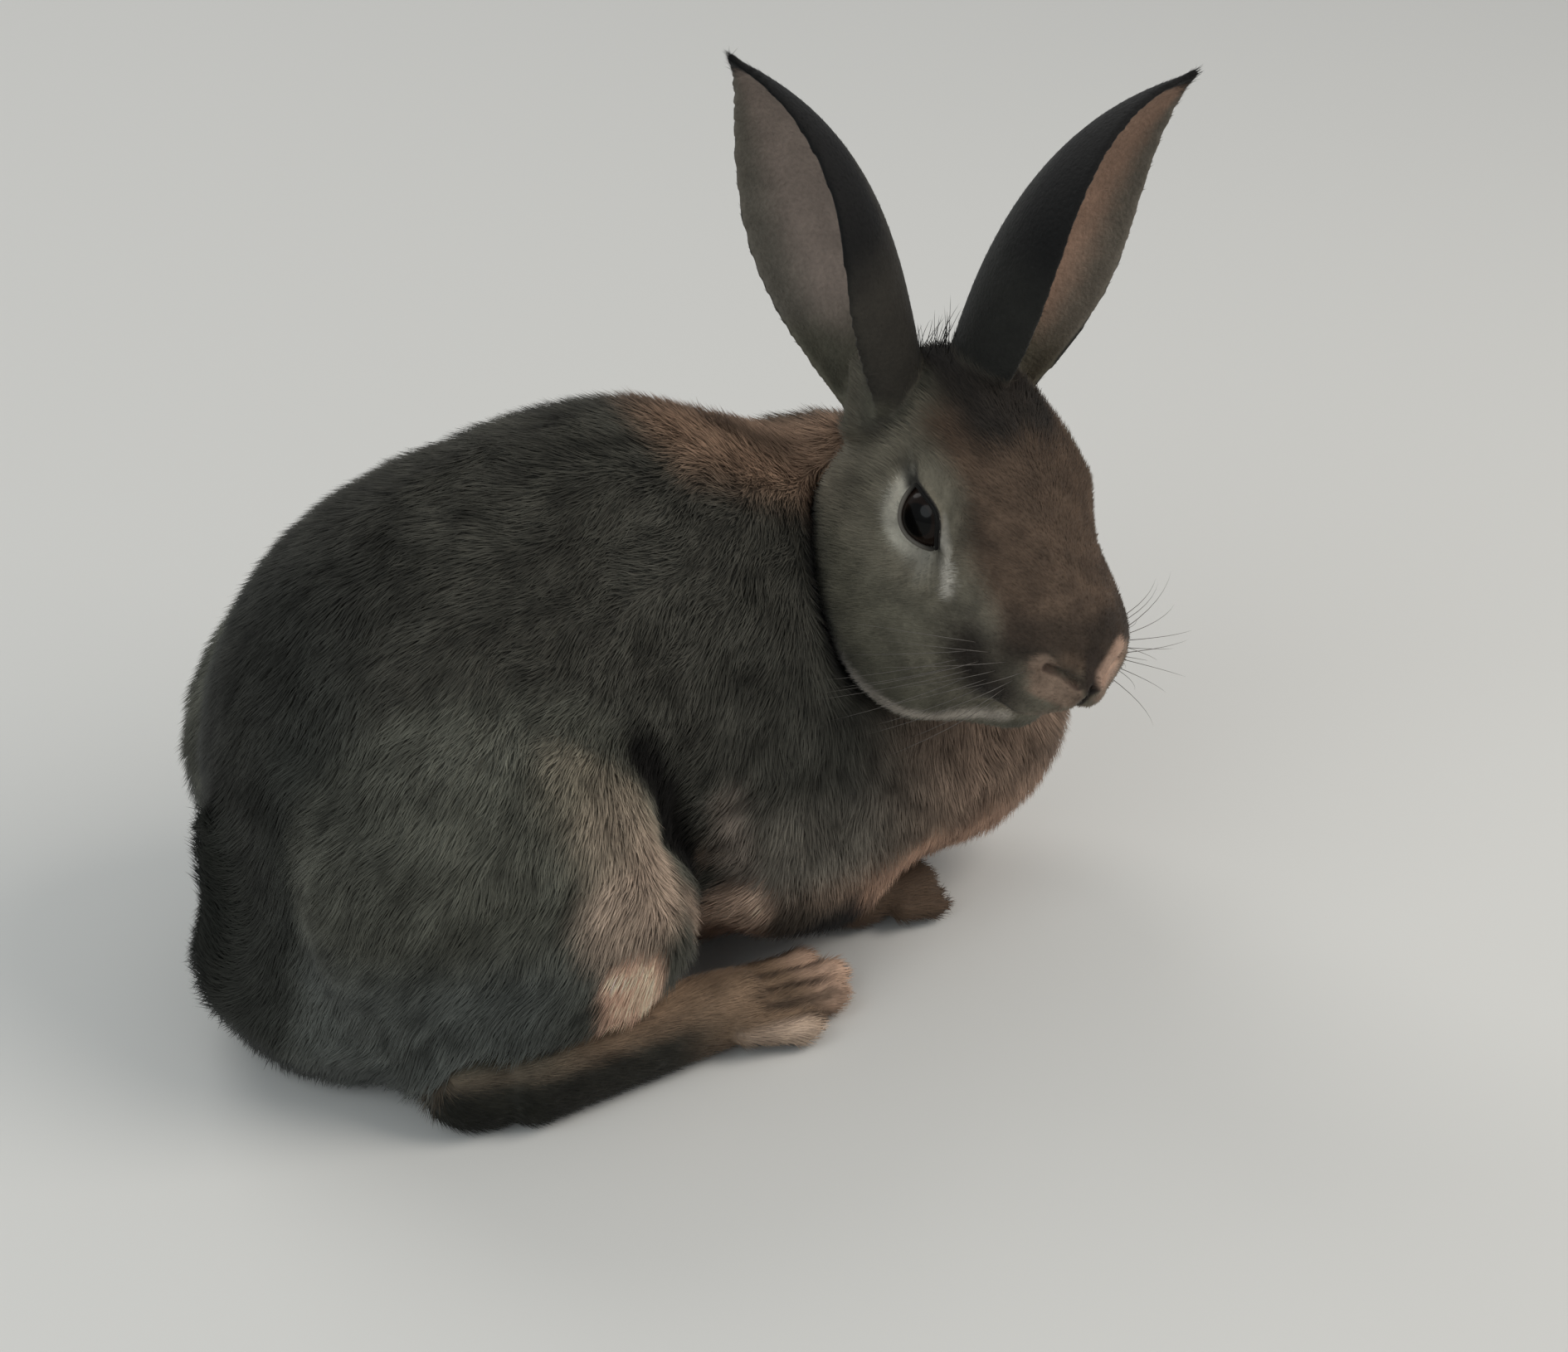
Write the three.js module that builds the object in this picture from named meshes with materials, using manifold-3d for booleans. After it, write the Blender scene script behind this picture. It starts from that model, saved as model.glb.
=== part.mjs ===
// A domestic rabbit with a short upright coat, life size. It crouches on the floor with its
// head turned over its right shoulder and its ears raised. Millimetres: +X runs forward along
// the body, +Y to the animal's left and +Z up. The origin is on the floor, under the middle of
// the whole animal; the body itself is laid out from a point under the middle of the trunk.
//
// The outline is that of the coat. The head, the feet and the body are each a mass of blended
// ellipsoids and tapered rods, meshed from a distance function. Thin cuts part the body into
// trunk, neck, tail and limbs, and each part is trimmed where a neighbour passes through it.
import * as THREE from "three";
import { mergeVertices } from "three/addons/utils/BufferGeometryUtils.js";
import Module from "manifold-3d";

const wasm = await Module();
wasm.setup();

// Driving dimensions
const BODY_LENGTH = 248; // rump to breast, crouched
const HAUNCH_WIDTH = 144; // across both thighs
const BACK_HEIGHT = 160; // floor to the top of the back
const HEAD_LENGTH = 103; // nose to the back of the skull
const EYE_RADIUS = 9;
const EAR_LENGTH = 103;
const EAR_BREADTH = 75; // across the leaf, rolled flat
const EAR_THICKNESS = 3.4; // with the hair on both sides
const FOOT_LENGTH = 112; // hind foot, heel to toe tips
const TOES = 4; // shown on each foot
const GAP = 0.4; // between neighbouring parts
const FACET_ERROR = 0.35; // how far a facet may stand off the blended mass

// Sizes of the cells that the masses are meshed with
const BODY_CELL = 16.2;
const HEAD_CELL = 9;
const HIND_FOOT_CELL = 7.9;
const FORE_FOOT_CELL = 6.2;

// The head's own origin, over the middle of its jaw, and how it is turned from facing straight
// forward
const HEAD_AT = [80.4, -53.5, 135.5];
const HEAD_YAW = -88;
const HEAD_PITCH = -18;
const HEAD_ROLL = -9;

// Each ear grows this far from the head's middle, as a share of the head's length. It leans
// out and back by these angles, turns its mouth this far outward from the front, and bows
// towards the other ear by this much at mid-length.
const EARS = {
  right: { apart: 0.098, lean: 35, back: 34.5, facing: 92, bow: 5 },
  left: { apart: 0.055, lean: 22, back: 2, facing: 20, bow: 9.5 },
};

const SIDES = { right: -1, left: 1 };

const L = BODY_LENGTH;
const W = HAUNCH_WIDTH;
const T = BACK_HEIGHT;
const H = HEAD_LENGTH;

const vec = (p) => new THREE.Vector3(...p);
const rad = THREE.MathUtils.degToRad;
const mix = THREE.MathUtils.lerp;

// Places and half sizes on the body are shares of its length, width and height; those on the
// head are shares of the head's length
const inBody = ([x, y, z]) => [x * L, y * W, z * T];
const inHead = (shares) => shares.map((share) => share * H);

// A rotation that rolls about +X, then pitches the +X end up, then yaws it to the left
const turned = (yaw, pitch, roll) =>
  new THREE.Matrix4().makeRotationFromEuler(
    new THREE.Euler(rad(roll), rad(-pitch), rad(yaw), "ZYX"),
  );

// ---- Masses: each takes a point and gives about how far outside the surface it is ----

function ellipsoid(at, half, pitch = 0) {
  const inward = turned(0, pitch, 0).setPosition(...at).invert();
  const size = vec(half);
  const p = new THREE.Vector3();
  return (point) => {
    p.copy(point).applyMatrix4(inward).divide(size);
    const share = p.length();
    const slope = p.divide(size).length();
    return slope < 1e-9 ? -Math.min(...half) : (share * (share - 1)) / slope;
  };
}

function rod(from, to, fromRadius, toRadius) {
  const a = vec(from);
  const along = vec(to).sub(a);
  const p = new THREE.Vector3();
  return (point) => {
    p.copy(point).sub(a);
    const t = THREE.MathUtils.clamp(p.dot(along) / along.lengthSq(), 0, 1);
    return p.addScaledVector(along, -t).length() - mix(fromRadius, toRadius, t);
  };
}

// Joins masses, and fills the creases between them over about the given width
const blended = (width, ...masses) => (point) =>
  masses
    .map((mass) => mass(point))
    .reduce((a, b) => {
      const near = Math.max(width - Math.abs(a - b), 0) / width;
      return Math.min(a, b) - (near * near * width) / 4;
    });

const bodyMass = (at, half, pitch) => ellipsoid(inBody(at), inBody(half), pitch);
const headMass = (at, half) => ellipsoid(inHead(at), inHead(half));

// ---- Meshing ----

function geometryOf(positions, index) {
  return new THREE.BufferGeometry()
    .setAttribute("position", new THREE.Float32BufferAttribute(positions, 3))
    .setIndex(index);
}

// Moves a point onto the surface of a mass, down the slope of its distance
function settle(point, mass, reach) {
  const d = 0.05;
  const probe = new THREE.Vector3();
  for (let pass = 0; pass < 3; pass++) {
    const here = mass(point);
    const slope = new THREE.Vector3(
      mass(probe.copy(point).setX(point.x + d)) - here,
      mass(probe.copy(point).setY(point.y + d)) - here,
      mass(probe.copy(point).setZ(point.z + d)) - here,
    ).divideScalar(d);
    const move = -here / Math.max(slope.lengthSq(), 0.1);
    point.addScaledVector(slope, THREE.MathUtils.clamp(move, -reach, reach));
  }
  return point;
}

// The closed surface of a mass, from a grid of the given cell between two corners. Each cell
// that the surface crosses gets one vertex, and each grid line that it crosses two triangles.
function surfaceOf(mass, low, high, cell) {
  const count = low.map((l, k) => Math.ceil((high[k] - l) / cell) + 1);
  const step = [1, count[0], count[0] * count[1]];
  const corner = (i) =>
    new THREE.Vector3(
      low[0] + (i % count[0]) * cell,
      low[1] + (Math.floor(i / step[1]) % count[1]) * cell,
      low[2] + Math.floor(i / step[2]) * cell,
    );
  const total = count[0] * count[1] * count[2];
  const values = Float32Array.from({ length: total }, (_, i) => mass(corner(i)));
  const inside = (i) => values[i] < 0;

  const offset = (c) => (c & 1) * step[0] + ((c >> 1) & 1) * step[1] + (c >> 2) * step[2];
  const edges = [];
  for (let c = 0; c < 8; c++) {
    for (const bit of [1, 2, 4]) {
      if (!(c & bit)) edges.push([offset(c), offset(c | bit)]);
    }
  }

  const points = [];
  const vertexOf = new Map();
  const vertex = (i) => {
    if (!vertexOf.has(i)) {
      const sum = new THREE.Vector3();
      const crossed = edges.filter(([a, b]) => inside(i + a) !== inside(i + b));
      for (const [a, b] of crossed) {
        const t = values[i + a] / (values[i + a] - values[i + b]);
        sum.add(corner(i + a).lerp(corner(i + b), t));
      }
      vertexOf.set(i, points.length);
      points.push(settle(sum.divideScalar(crossed.length), mass, cell / 3));
    }
    return vertexOf.get(i);
  };

  const index = [];
  values.forEach((_, i) => {
    for (let k = 0; k < 3; k++) {
      const far = i + step[k];
      if (far >= total || inside(i) === inside(far)) continue;
      const [u, v] = [step[(k + 1) % 3], step[(k + 2) % 3]];
      const ring = [i, i - u, i - u - v, i - v].map(vertex);
      if (!inside(i)) ring.reverse();
      const [a, b, c, d] = ring;
      const ac = points[a].distanceTo(points[c]);
      const bd = points[b].distanceTo(points[d]);
      index.push(...(ac < bd ? [a, b, c, a, c, d] : [b, c, d, b, d, a]));
    }
  });
  return geometryOf(points.flatMap((p) => p.toArray()), index);
}

// A closed skin over rings of points. Each ring has an even number of points, and each end is
// closed by a strip from the first half of its ring to the second.
function loft(rings) {
  const size = rings[0].length;
  const index = [];
  for (let r = 0; r < rings.length - 1; r++) {
    for (let i = 0; i < size; i++) {
      const [a, b] = [r * size + i, r * size + ((i + 1) % size)];
      index.push(a, b, b + size, a, b + size, a + size);
    }
  }
  const cap = (start, facing) => {
    for (let i = 0; i < size / 2 - 1; i++) {
      const [a, b, c, d] = [i, i + 1, size - 2 - i, size - 1 - i].map((k) => start + k);
      index.push(...(facing ? [a, b, c, a, c, d] : [a, c, b, a, d, c]));
    }
  };
  cap(0, false);
  cap((rings.length - 1) * size, true);
  return geometryOf(rings.flat().flatMap((p) => p.toArray()), index);
}

// ---- Solids ----

function welded(geometry) {
  const bare = geometry.clone();
  bare.deleteAttribute("normal");
  bare.deleteAttribute("uv");
  return mergeVertices(bare, 1e-4);
}

function solid(geometry) {
  const skin = welded(geometry);
  return new wasm.Manifold(
    new wasm.Mesh({
      numProp: 3,
      vertProperties: new Float32Array(skin.attributes.position.array),
      triVerts: new Uint32Array(skin.index.array),
    }),
  );
}

function geometryFrom(shape) {
  const { vertProperties, triVerts } = shape.simplify(FACET_ERROR).getMesh();
  return geometryOf(Array.from(vertProperties), Array.from(triVerts));
}

// The same body with its skin moved out by the gap, for trimming a neighbour
function grown(geometry, matrix = new THREE.Matrix4()) {
  const skin = welded(geometry).applyMatrix4(matrix);
  skin.computeVertexNormals();
  const { position, normal } = skin.attributes;
  for (let i = 0; i < position.count; i++) {
    const p = new THREE.Vector3().fromBufferAttribute(normal, i).multiplyScalar(GAP);
    p.add(new THREE.Vector3().fromBufferAttribute(position, i));
    position.setXYZ(i, p.x, p.y, p.z);
  }
  return solid(skin);
}

const trimmed = (geometry, ...neighbours) =>
  geometryFrom(neighbours.reduce((all, other) => all.subtract(other), solid(geometry)));

const floor = solid(new THREE.BoxGeometry(3 * L, 3 * L, T).translate(0, 0, -T / 2));

// ---- Colours ----

const material = (color, roughness) =>
  new THREE.MeshStandardMaterial({ color, roughness, metalness: 0 });
const COAT = material(0x4a443b, 0.9);
const EAR_COAT = material(0x5a5249, 0.9);
const FOOT_COAT = material(0x55483a, 0.9);
const NOSE_SKIN = material(0x6b5348, 0.6);
const EYE = material(0x120d0a, 0.1);

function part(name, geometry, look) {
  geometry.computeVertexNormals();
  const mesh = new THREE.Mesh(geometry, look);
  mesh.name = name;
  return mesh;
}

// ---- Trunk, neck and tail ----

function trunkMass() {
  const rump = bodyMass([-0.195, 0, 0.48], [0.268, 0.42, 0.465]);
  const seat = bodyMass([-0.325, 0, 0.15], [0.17, 0.35, 0.18]);
  const loin = bodyMass([-0.05, 0, 0.53], [0.33, 0.32, 0.485], -2);
  const ribs = bodyMass([0.12, 0.02, 0.44], [0.25, 0.27, 0.41], -17);
  const belly = bodyMass([0.03, 0, 0.265], [0.24, 0.27, 0.24]);
  const breast = bodyMass([0.345, -0.06, 0.34], [0.18, 0.25, 0.28]);
  return blended(14, rump, seat, loin, ribs, belly, breast);
}

function neckMass() {
  const nape = rod(inBody([0.17, 0.06, 0.67]), inBody([0.27, 0.03, 0.75]), 31, 23);
  const throat = rod(inBody([0.27, -0.02, 0.46]), inBody([0.31, -0.12, 0.52]), 28, 22);
  return blended(14, nape, throat);
}

const collar = (gap) =>
  solid(
    new THREE.SphereGeometry(0.185 * L + gap, 22, 14).translate(...inBody([0.3, -0.05, 0.7])),
  );

// The tail is laid up against the rump
const tailMass = () => rod(inBody([-0.43, 0, 0.16]), inBody([-0.46, 0, 0.4]), 13, 10);

const tailCut = (gap) =>
  solid(
    new THREE.SphereGeometry(1, 18, 12)
      .scale(24 + gap, 17 + gap, 34 + gap)
      .translate(...inBody([-0.5, 0, 0.28])),
  );

// ---- Haunches and shoulders ----

const KNEE = [-0.14, 0.36, 0.3];
const HEEL = [-0.3, 0.38, 0.09];

function haunchMass(side) {
  const on = ([x, y, z]) => inBody([x, side * y, z]);
  const thigh = ellipsoid(on([-0.24, 0.29, 0.4]), inBody([0.2, 0.2, 0.32]), -8);
  const knee = ellipsoid(on(KNEE), [27, 21, 29]);
  const shank = rod(on(KNEE), on(HEEL), 21, 14);
  return blended(16, thigh, knee, shank);
}

const ELBOW = [0.1, 0.26, 0.22];
const WRIST = [0.225, 0.18, 0.075];

function foreLegMass(side) {
  const on = ([x, y, z]) => inBody([x, side * y, z]);
  const shoulder = ellipsoid(on([0.12, 0.22, 0.43]), inBody([0.13, 0.12, 0.26]), 14);
  const upperArm = rod(on([0.29, 0.2, 0.3]), on(ELBOW), 21, 18);
  const foreArm = rod(on(ELBOW), on(WRIST), 16, 11);
  return blended(14, shoulder, upperArm, foreArm);
}

// An oval drum that lies across the body on one side, from a distance off the middle outward
function drum(at, half, inner, side, gap) {
  const breadth = W / 2 - inner + 2 * gap + 10;
  return solid(
    new THREE.CylinderGeometry(1, 1, breadth, 28)
      .scale(half[0] + gap, 1, half[1] + gap)
      .translate(at[0], side * (inner - gap + breadth / 2), at[1]),
  );
}

const haunchCut = (side, gap) =>
  drum([-0.24 * L, 0.32 * T], [0.23 * L, 0.41 * T], 0.2 * W, side, gap);

const foreLegCut = (side, gap) =>
  drum([0.21 * L, 0.35 * T], [0.17 * L, 0.39 * T], 0.13 * W, side, gap);

// ---- Feet ----

// A claw is a short horn that curves down as it tapers from its root to its tip
function claw(root, tip) {
  const middle = vec(root).lerp(vec(tip), 0.55).setZ(mix(root[2], tip[2], 0.55) + 1.6);
  const curve = new THREE.QuadraticBezierCurve3(vec(root), middle, vec(tip));
  const rings = [0, 0.5, 1].map((t) => {
    const along = curve.getTangent(t);
    const across = new THREE.Vector3(-along.y, along.x, 0).normalize();
    const above = new THREE.Vector3().crossVectors(along, across);
    const radius = mix(1.9, 0.45, t);
    return Array.from({ length: 6 }, (_, i) => {
      const turn = (i / 6) * 2 * Math.PI;
      return curve
        .getPoint(t)
        .addScaledVector(across, 0.8 * radius * Math.cos(turn))
        .addScaledVector(above, radius * Math.sin(turn));
    });
  });
  return loft(rings);
}

const acrossFoot = (toe, spread) => (toe - (TOES - 1) / 2) * spread;

function hindFoot(side) {
  const at = (along, aside, up) => [
    HEEL[0] * L + along * FOOT_LENGTH,
    side * (0.39 * W + aside),
    up,
  ];
  const heel = ellipsoid(at(0.04, 0, 11), [18, 13, 14]);
  const instep = rod(at(0.14, 3, 11), at(0.66, 0, 10), 16, 12.5);
  const toes = [];
  const claws = [];
  for (let i = 0; i < TOES; i++) {
    const aside = acrossFoot(i, 7.2);
    const reach = 0.93 - 0.035 * Math.abs(i - 1);
    toes.push(rod(at(0.62, aside, 9), at(reach, 1.15 * aside, 6.5), 7, 6.2));
    claws.push(claw(at(reach, 1.15 * aside, 6), at(reach + 0.1, 1.2 * aside, 1.6)));
  }
  const mass = blended(6, blended(10, heel, instep), ...toes);
  const low = [-0.42 * L, at(0, 0, 0)[1] - 26, -12];
  return { claws, skin: surfaceOf(mass, low, [0.2 * L, low[1] + 52, 34], HIND_FOOT_CELL) };
}

function foreFoot(side) {
  const at = (along, aside, up) => [WRIST[0] * L + along, side * (WRIST[1] * W + aside), up];
  const wrist = ellipsoid(at(0, 0, 11), [13, 10.5, 11]);
  const palm = ellipsoid(at(12, 0, 9), [13, 11, 8.5]);
  const toes = [];
  const claws = [];
  for (let i = 0; i < TOES; i++) {
    const aside = acrossFoot(i, 5.4);
    const reach = 27 - 1.8 * Math.abs(i - 1.3);
    toes.push(rod(at(12, aside, 7), at(reach, 1.1 * aside, 5.2), 5.2, 4.6));
    claws.push(claw(at(reach, 1.1 * aside, 4.6), at(reach + 8.5, 1.15 * aside, 1.4)));
  }
  const mass = blended(5, blended(8, wrist, palm), ...toes);
  const low = [0.14 * L, at(0, 0, 0)[1] - 22, -10];
  return { claws, skin: surfaceOf(mass, low, [0.42 * L, low[1] + 44, 30], FORE_FOOT_CELL) };
}

// ---- Head: +X to the nose and +Y to its left ----

const headFrame = turned(HEAD_YAW, HEAD_PITCH, HEAD_ROLL).setPosition(...HEAD_AT);
const EYE_AT = inHead([-0.025, 0.178, -0.022]); // the left eye's middle
const NOSE_AT = inHead([0.485, 0, -0.155]);

function skullMass() {
  const skull = headMass([-0.18, 0, 0.03], [0.32, 0.23, 0.24]);
  const snout = rod(inHead([0.04, 0, -0.06]), inHead([0.33, 0, -0.135]), 0.23 * H, 0.18 * H);
  const jaw = rod(inHead([-0.12, 0, -0.34]), inHead([0.27, 0, -0.375]), 0.16 * H, 0.105 * H);
  const pairs = Object.values(SIDES).flatMap((side) => {
    const cheek = headMass([-0.13, 0.17 * side, -0.2], [0.27, 0.17, 0.29]);
    const jowl = headMass([0.02, 0.16 * side, -0.36], [0.28, 0.17, 0.22]);
    const brow = headMass([-0.03, 0.135 * side, 0.07], [0.15, 0.06, 0.058]);
    const lip = headMass([0.25, 0.12 * side, -0.175], [0.18, 0.135, 0.14]);
    return [cheek, jowl, brow, lip];
  });
  return blended(9, skull, snout, jaw, ...pairs);
}

// An ear is a leaf rolled into a trough that is nearly shut at the root and opens to the tip
function ear(side, { apart, lean, back, facing, bow }) {
  const STATIONS = 11;
  const ARC = 8; // points across each face
  const root = vec(inHead([-0.34, apart * side, 0.08]));
  const up = vec([-Math.tan(rad(back)), side * Math.tan(rad(lean)), 1]).normalize();
  const tip = root.clone().addScaledVector(up, EAR_LENGTH);
  const middle = root.clone().lerp(tip, 0.5).add(vec([0, -2 * bow * side, 0]));
  const curve = new THREE.QuadraticBezierCurve3(root, middle, tip);
  const outward = vec([Math.cos(rad(facing)), side * Math.sin(rad(facing)), 0]);
  const rings = Array.from({ length: STATIONS }, (_, i) => {
    const t = i / (STATIONS - 1);
    const along = curve.getTangent(t);
    const mouth = outward.clone().addScaledVector(along, -outward.dot(along)).normalize();
    const across = new THREE.Vector3().crossVectors(mouth, along);
    const leaf = Math.sin(Math.PI * (0.26 + 0.74 * t ** 1.4));
    const halfTurn = rad(mix(150, 46, t ** 0.62));
    const radius = (EAR_BREADTH * Math.max(leaf, 0.05)) / (2 * halfTurn);
    const wall = Math.min(EAR_THICKNESS * mix(1.3, 0.6, t), 0.8 * radius);
    const centre = curve.getPoint(t).addScaledVector(mouth, 0.6 * radius);
    const at = (turn, r) =>
      centre
        .clone()
        .addScaledVector(mouth, -r * Math.cos(turn))
        .addScaledVector(across, r * Math.sin(turn));
    const shares = Array.from({ length: ARC }, (_, k) => (2 * k) / (ARC - 1) - 1);
    const outer = shares.map((share) => at(share * halfTurn, radius));
    const inner = shares.map((share) =>
      at(share * halfTurn, radius - wall * (1 - 0.55 * share ** 4)),
    );
    return [...outer, ...inner.reverse()];
  });
  return loft(rings);
}

// ---- Assembly ----

const rabbit = new THREE.Group();
const head = new THREE.Group();
rabbit.add(head);
head.applyMatrix4(headFrame);

// Adds the head's parts, and returns the head grown by the gap for the body to be trimmed by
function addHead() {
  const hollows = [];
  for (const [name, side] of Object.entries(SIDES)) {
    const ball = new THREE.SphereGeometry(EYE_RADIUS, 14, 9);
    const [ahead, aside, above] = EYE_AT;
    ball.translate(ahead, aside * side, above);
    const opening = new THREE.SphereGeometry(EYE_RADIUS + 0.6, 14, 9);
    opening.translate(ahead + 1, (aside + 5) * side, above);
    hollows.push(grown(ball), solid(opening));
    head.add(part(`eye_${name}`, ball, EYE));
  }
  const nose = new THREE.SphereGeometry(1, 12, 8).scale(5, 6.5, 4.5).translate(...NOSE_AT);
  head.add(part("nose", nose, NOSE_SKIN));
  const low = [-0.62 * H, -0.45 * H, -0.68 * H];
  const high = [0.65 * H, 0.45 * H, 0.42 * H];
  const skin = surfaceOf(skullMass(), low, high, HEAD_CELL);
  head.add(part("head", trimmed(skin, ...hollows, grown(nose)), COAT));
  for (const [name, side] of Object.entries(SIDES)) {
    head.add(part(`ear_${name}`, trimmed(ear(side, EARS[name]), grown(skin)), EAR_COAT));
  }
  return grown(skin, headFrame);
}

// Adds a foot, flat on the floor with its claws set into its toes, and returns it grown
function addFoot(name, { skin, claws }) {
  const clawed = claws.reduce((all, horn) => all.add(solid(horn)), solid(skin));
  rabbit.add(part(name, geometryFrom(clawed.subtract(floor)), FOOT_COAT));
  return grown(skin);
}

// Adds the trunk, neck, tail and limbs: one mass, trimmed by its neighbours and parted by cuts
function addBody(neighbours) {
  const sides = Object.values(SIDES);
  const limbs = [...sides.map(haunchMass), ...sides.map(foreLegMass)];
  const mass = blended(11, trunkMass(), neckMass(), tailMass(), ...limbs);
  const low = [-0.62 * L, -0.62 * W, -20];
  const skin = surfaceOf(mass, low, [0.62 * L, 0.62 * W, T + 20], BODY_CELL);
  let rest = neighbours.reduce((all, other) => all.subtract(other), solid(skin));
  const cut = (name, region) => {
    rabbit.add(part(name, geometryFrom(rest.intersect(region(0))), COAT));
    rest = rest.subtract(region(GAP));
  };
  for (const [name, side] of Object.entries(SIDES)) {
    cut(`haunch_${name}`, (gap) => haunchCut(side, gap));
    cut(`fore_leg_${name}`, (gap) => foreLegCut(side, gap));
  }
  cut("tail", tailCut);
  cut("neck", collar);
  rabbit.add(part("trunk", geometryFrom(rest), COAT));
}

const feet = Object.entries(SIDES).flatMap(([name, side]) => [
  addFoot(`hind_foot_${name}`, hindFoot(side)),
  addFoot(`fore_foot_${name}`, foreFoot(side)),
]);
addBody([addHead(), ...feet, floor]);

const middle = new THREE.Box3().setFromObject(rabbit, true).getCenter(new THREE.Vector3());
rabbit.position.set(-middle.x, -middle.y, 0);

export default rabbit;
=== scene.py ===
"""A domestic rabbit with a short dense agouti coat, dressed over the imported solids.

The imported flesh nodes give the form: they are joined, smoothed and drawn in by the coat's
depth, and finer ears, feet and orbits are joined to them in one skin. Tufts of mesh stand on
that skin and carry the same markings. Lengths are in millimetres until a mesh is made.
"""
import itertools
import math

import bpy
import numpy as np
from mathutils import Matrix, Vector
from mathutils.bvhtree import BVHTree
from mathutils.kdtree import KDTree


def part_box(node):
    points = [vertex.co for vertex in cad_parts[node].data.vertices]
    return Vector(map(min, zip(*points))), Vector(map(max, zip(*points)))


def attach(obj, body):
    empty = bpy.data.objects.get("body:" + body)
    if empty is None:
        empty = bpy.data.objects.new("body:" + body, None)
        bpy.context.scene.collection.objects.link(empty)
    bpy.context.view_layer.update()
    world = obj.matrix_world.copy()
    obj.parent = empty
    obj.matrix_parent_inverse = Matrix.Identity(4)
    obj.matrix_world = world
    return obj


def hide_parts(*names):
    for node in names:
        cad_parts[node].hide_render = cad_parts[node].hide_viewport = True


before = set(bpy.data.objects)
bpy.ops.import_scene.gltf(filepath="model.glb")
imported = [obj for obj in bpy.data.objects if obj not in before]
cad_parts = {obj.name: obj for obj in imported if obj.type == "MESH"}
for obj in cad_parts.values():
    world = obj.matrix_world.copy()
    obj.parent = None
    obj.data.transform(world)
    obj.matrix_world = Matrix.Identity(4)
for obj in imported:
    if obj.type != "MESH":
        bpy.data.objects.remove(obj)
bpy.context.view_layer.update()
MM = 0.001

# The solids' driving sizes, as the part's source names them
BODY_LENGTH = 248.0
HAUNCH_WIDTH = 144.0
BACK_HEIGHT = 160.0
HEAD_LENGTH = 103.0
EYE_RADIUS = 9.0
EAR_LENGTH = 103.0
EAR_BREADTH = 75.0
EAR_THICKNESS = 3.4
FOOT_LENGTH = 112.0
HEAD_LAID_OUT_AT = (80.4, -53.5, 135.5)
EYE_SHARES = (-0.025, 0.178, -0.022)  # the left eye's place, as shares of the head's length
NOSE_SHARES = (0.485, 0.0, -0.155)
SIDES = {"right": -1, "left": 1}
EARS = {
    "right": {"apart": 0.098, "lean": 35, "back": 34.5, "facing": 92, "bow": 5},
    "left": {"apart": 0.055, "lean": 22, "back": 2, "facing": 20, "bow": 9.5},
}

# How far the skin lies inside the solids
BODY_COAT = 2.9
HEAD_COAT = 1.7
FOOT_COAT = 1.5
EAR_COAT = 0.5

L, W, T, H = BODY_LENGTH, HAUNCH_WIDTH, BACK_HEIGHT, HEAD_LENGTH


# ---- arrays

def unit(v):
    return v / np.maximum(np.linalg.norm(v, axis=-1, keepdims=True), 1e-9)


def ramp(x, low, high):
    t = np.clip((x - low) / (high - low), 0.0, 1.0)
    return t * t * (3.0 - 2.0 * t)


def centre_of(node):
    low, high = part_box(node)
    return np.array((low + high) / 2) / MM


def head_axes():
    """The head's own forward, left and up, from the eyes and the nose."""
    left = unit(centre_of("eye_left") - centre_of("eye_right"))
    to_nose = centre_of("nose") - BETWEEN_EYES
    to_nose = unit(to_nose - left * (to_nose @ left))
    across = np.cross(to_nose, left)
    drop = math.atan2(EYE_SHARES[2] - NOSE_SHARES[2], NOSE_SHARES[0] - EYE_SHARES[0])
    forward = math.cos(drop) * to_nose + math.sin(drop) * across
    return np.array([forward, left, np.cross(forward, left)])


BETWEEN_EYES = (centre_of("eye_left") + centre_of("eye_right")) / 2
HEAD_AXES = head_axes()
HEAD_AT = BETWEEN_EYES - np.array([EYE_SHARES[0] * H, 0.0, EYE_SHARES[2] * H]) @ HEAD_AXES
SHIFT = HEAD_AT - np.array(HEAD_LAID_OUT_AT)


def in_head(points):
    """Points in the head's own axes, from its own origin."""
    return (points - HEAD_AT) @ HEAD_AXES.T


def from_head(points):
    return np.asarray(points, float) @ HEAD_AXES + HEAD_AT


def eye_place(side):
    ahead, aside, above = EYE_SHARES
    return np.array([ahead * H, side * aside * H, above * H])


# ---- value noise

def lattice(seed):
    return np.random.default_rng(seed).uniform(-1.0, 1.0, (32, 32, 32))


def noise(points, size, table):
    """Smooth value noise between -1 and 1 with features of about the given size."""
    p = points / size
    cell = np.floor(p).astype(int)
    t = p - cell
    t = t * t * (3.0 - 2.0 * t)
    total = np.zeros(len(points))
    for corner in range(8):
        step = np.array([corner & 1, corner >> 1 & 1, corner >> 2])
        share = np.prod(np.where(step, t, 1.0 - t), axis=1)
        i, j, k = ((cell + step) % 32).T
        total += share * table[i, j, k]
    return total


NOISE_A, NOISE_B, NOISE_C = lattice(11), lattice(23), lattice(37)


def noise_vector(points, size):
    return np.stack([noise(points, size, t) for t in (NOISE_A, NOISE_B, NOISE_C)], axis=1)


# ---- meshes

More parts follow.
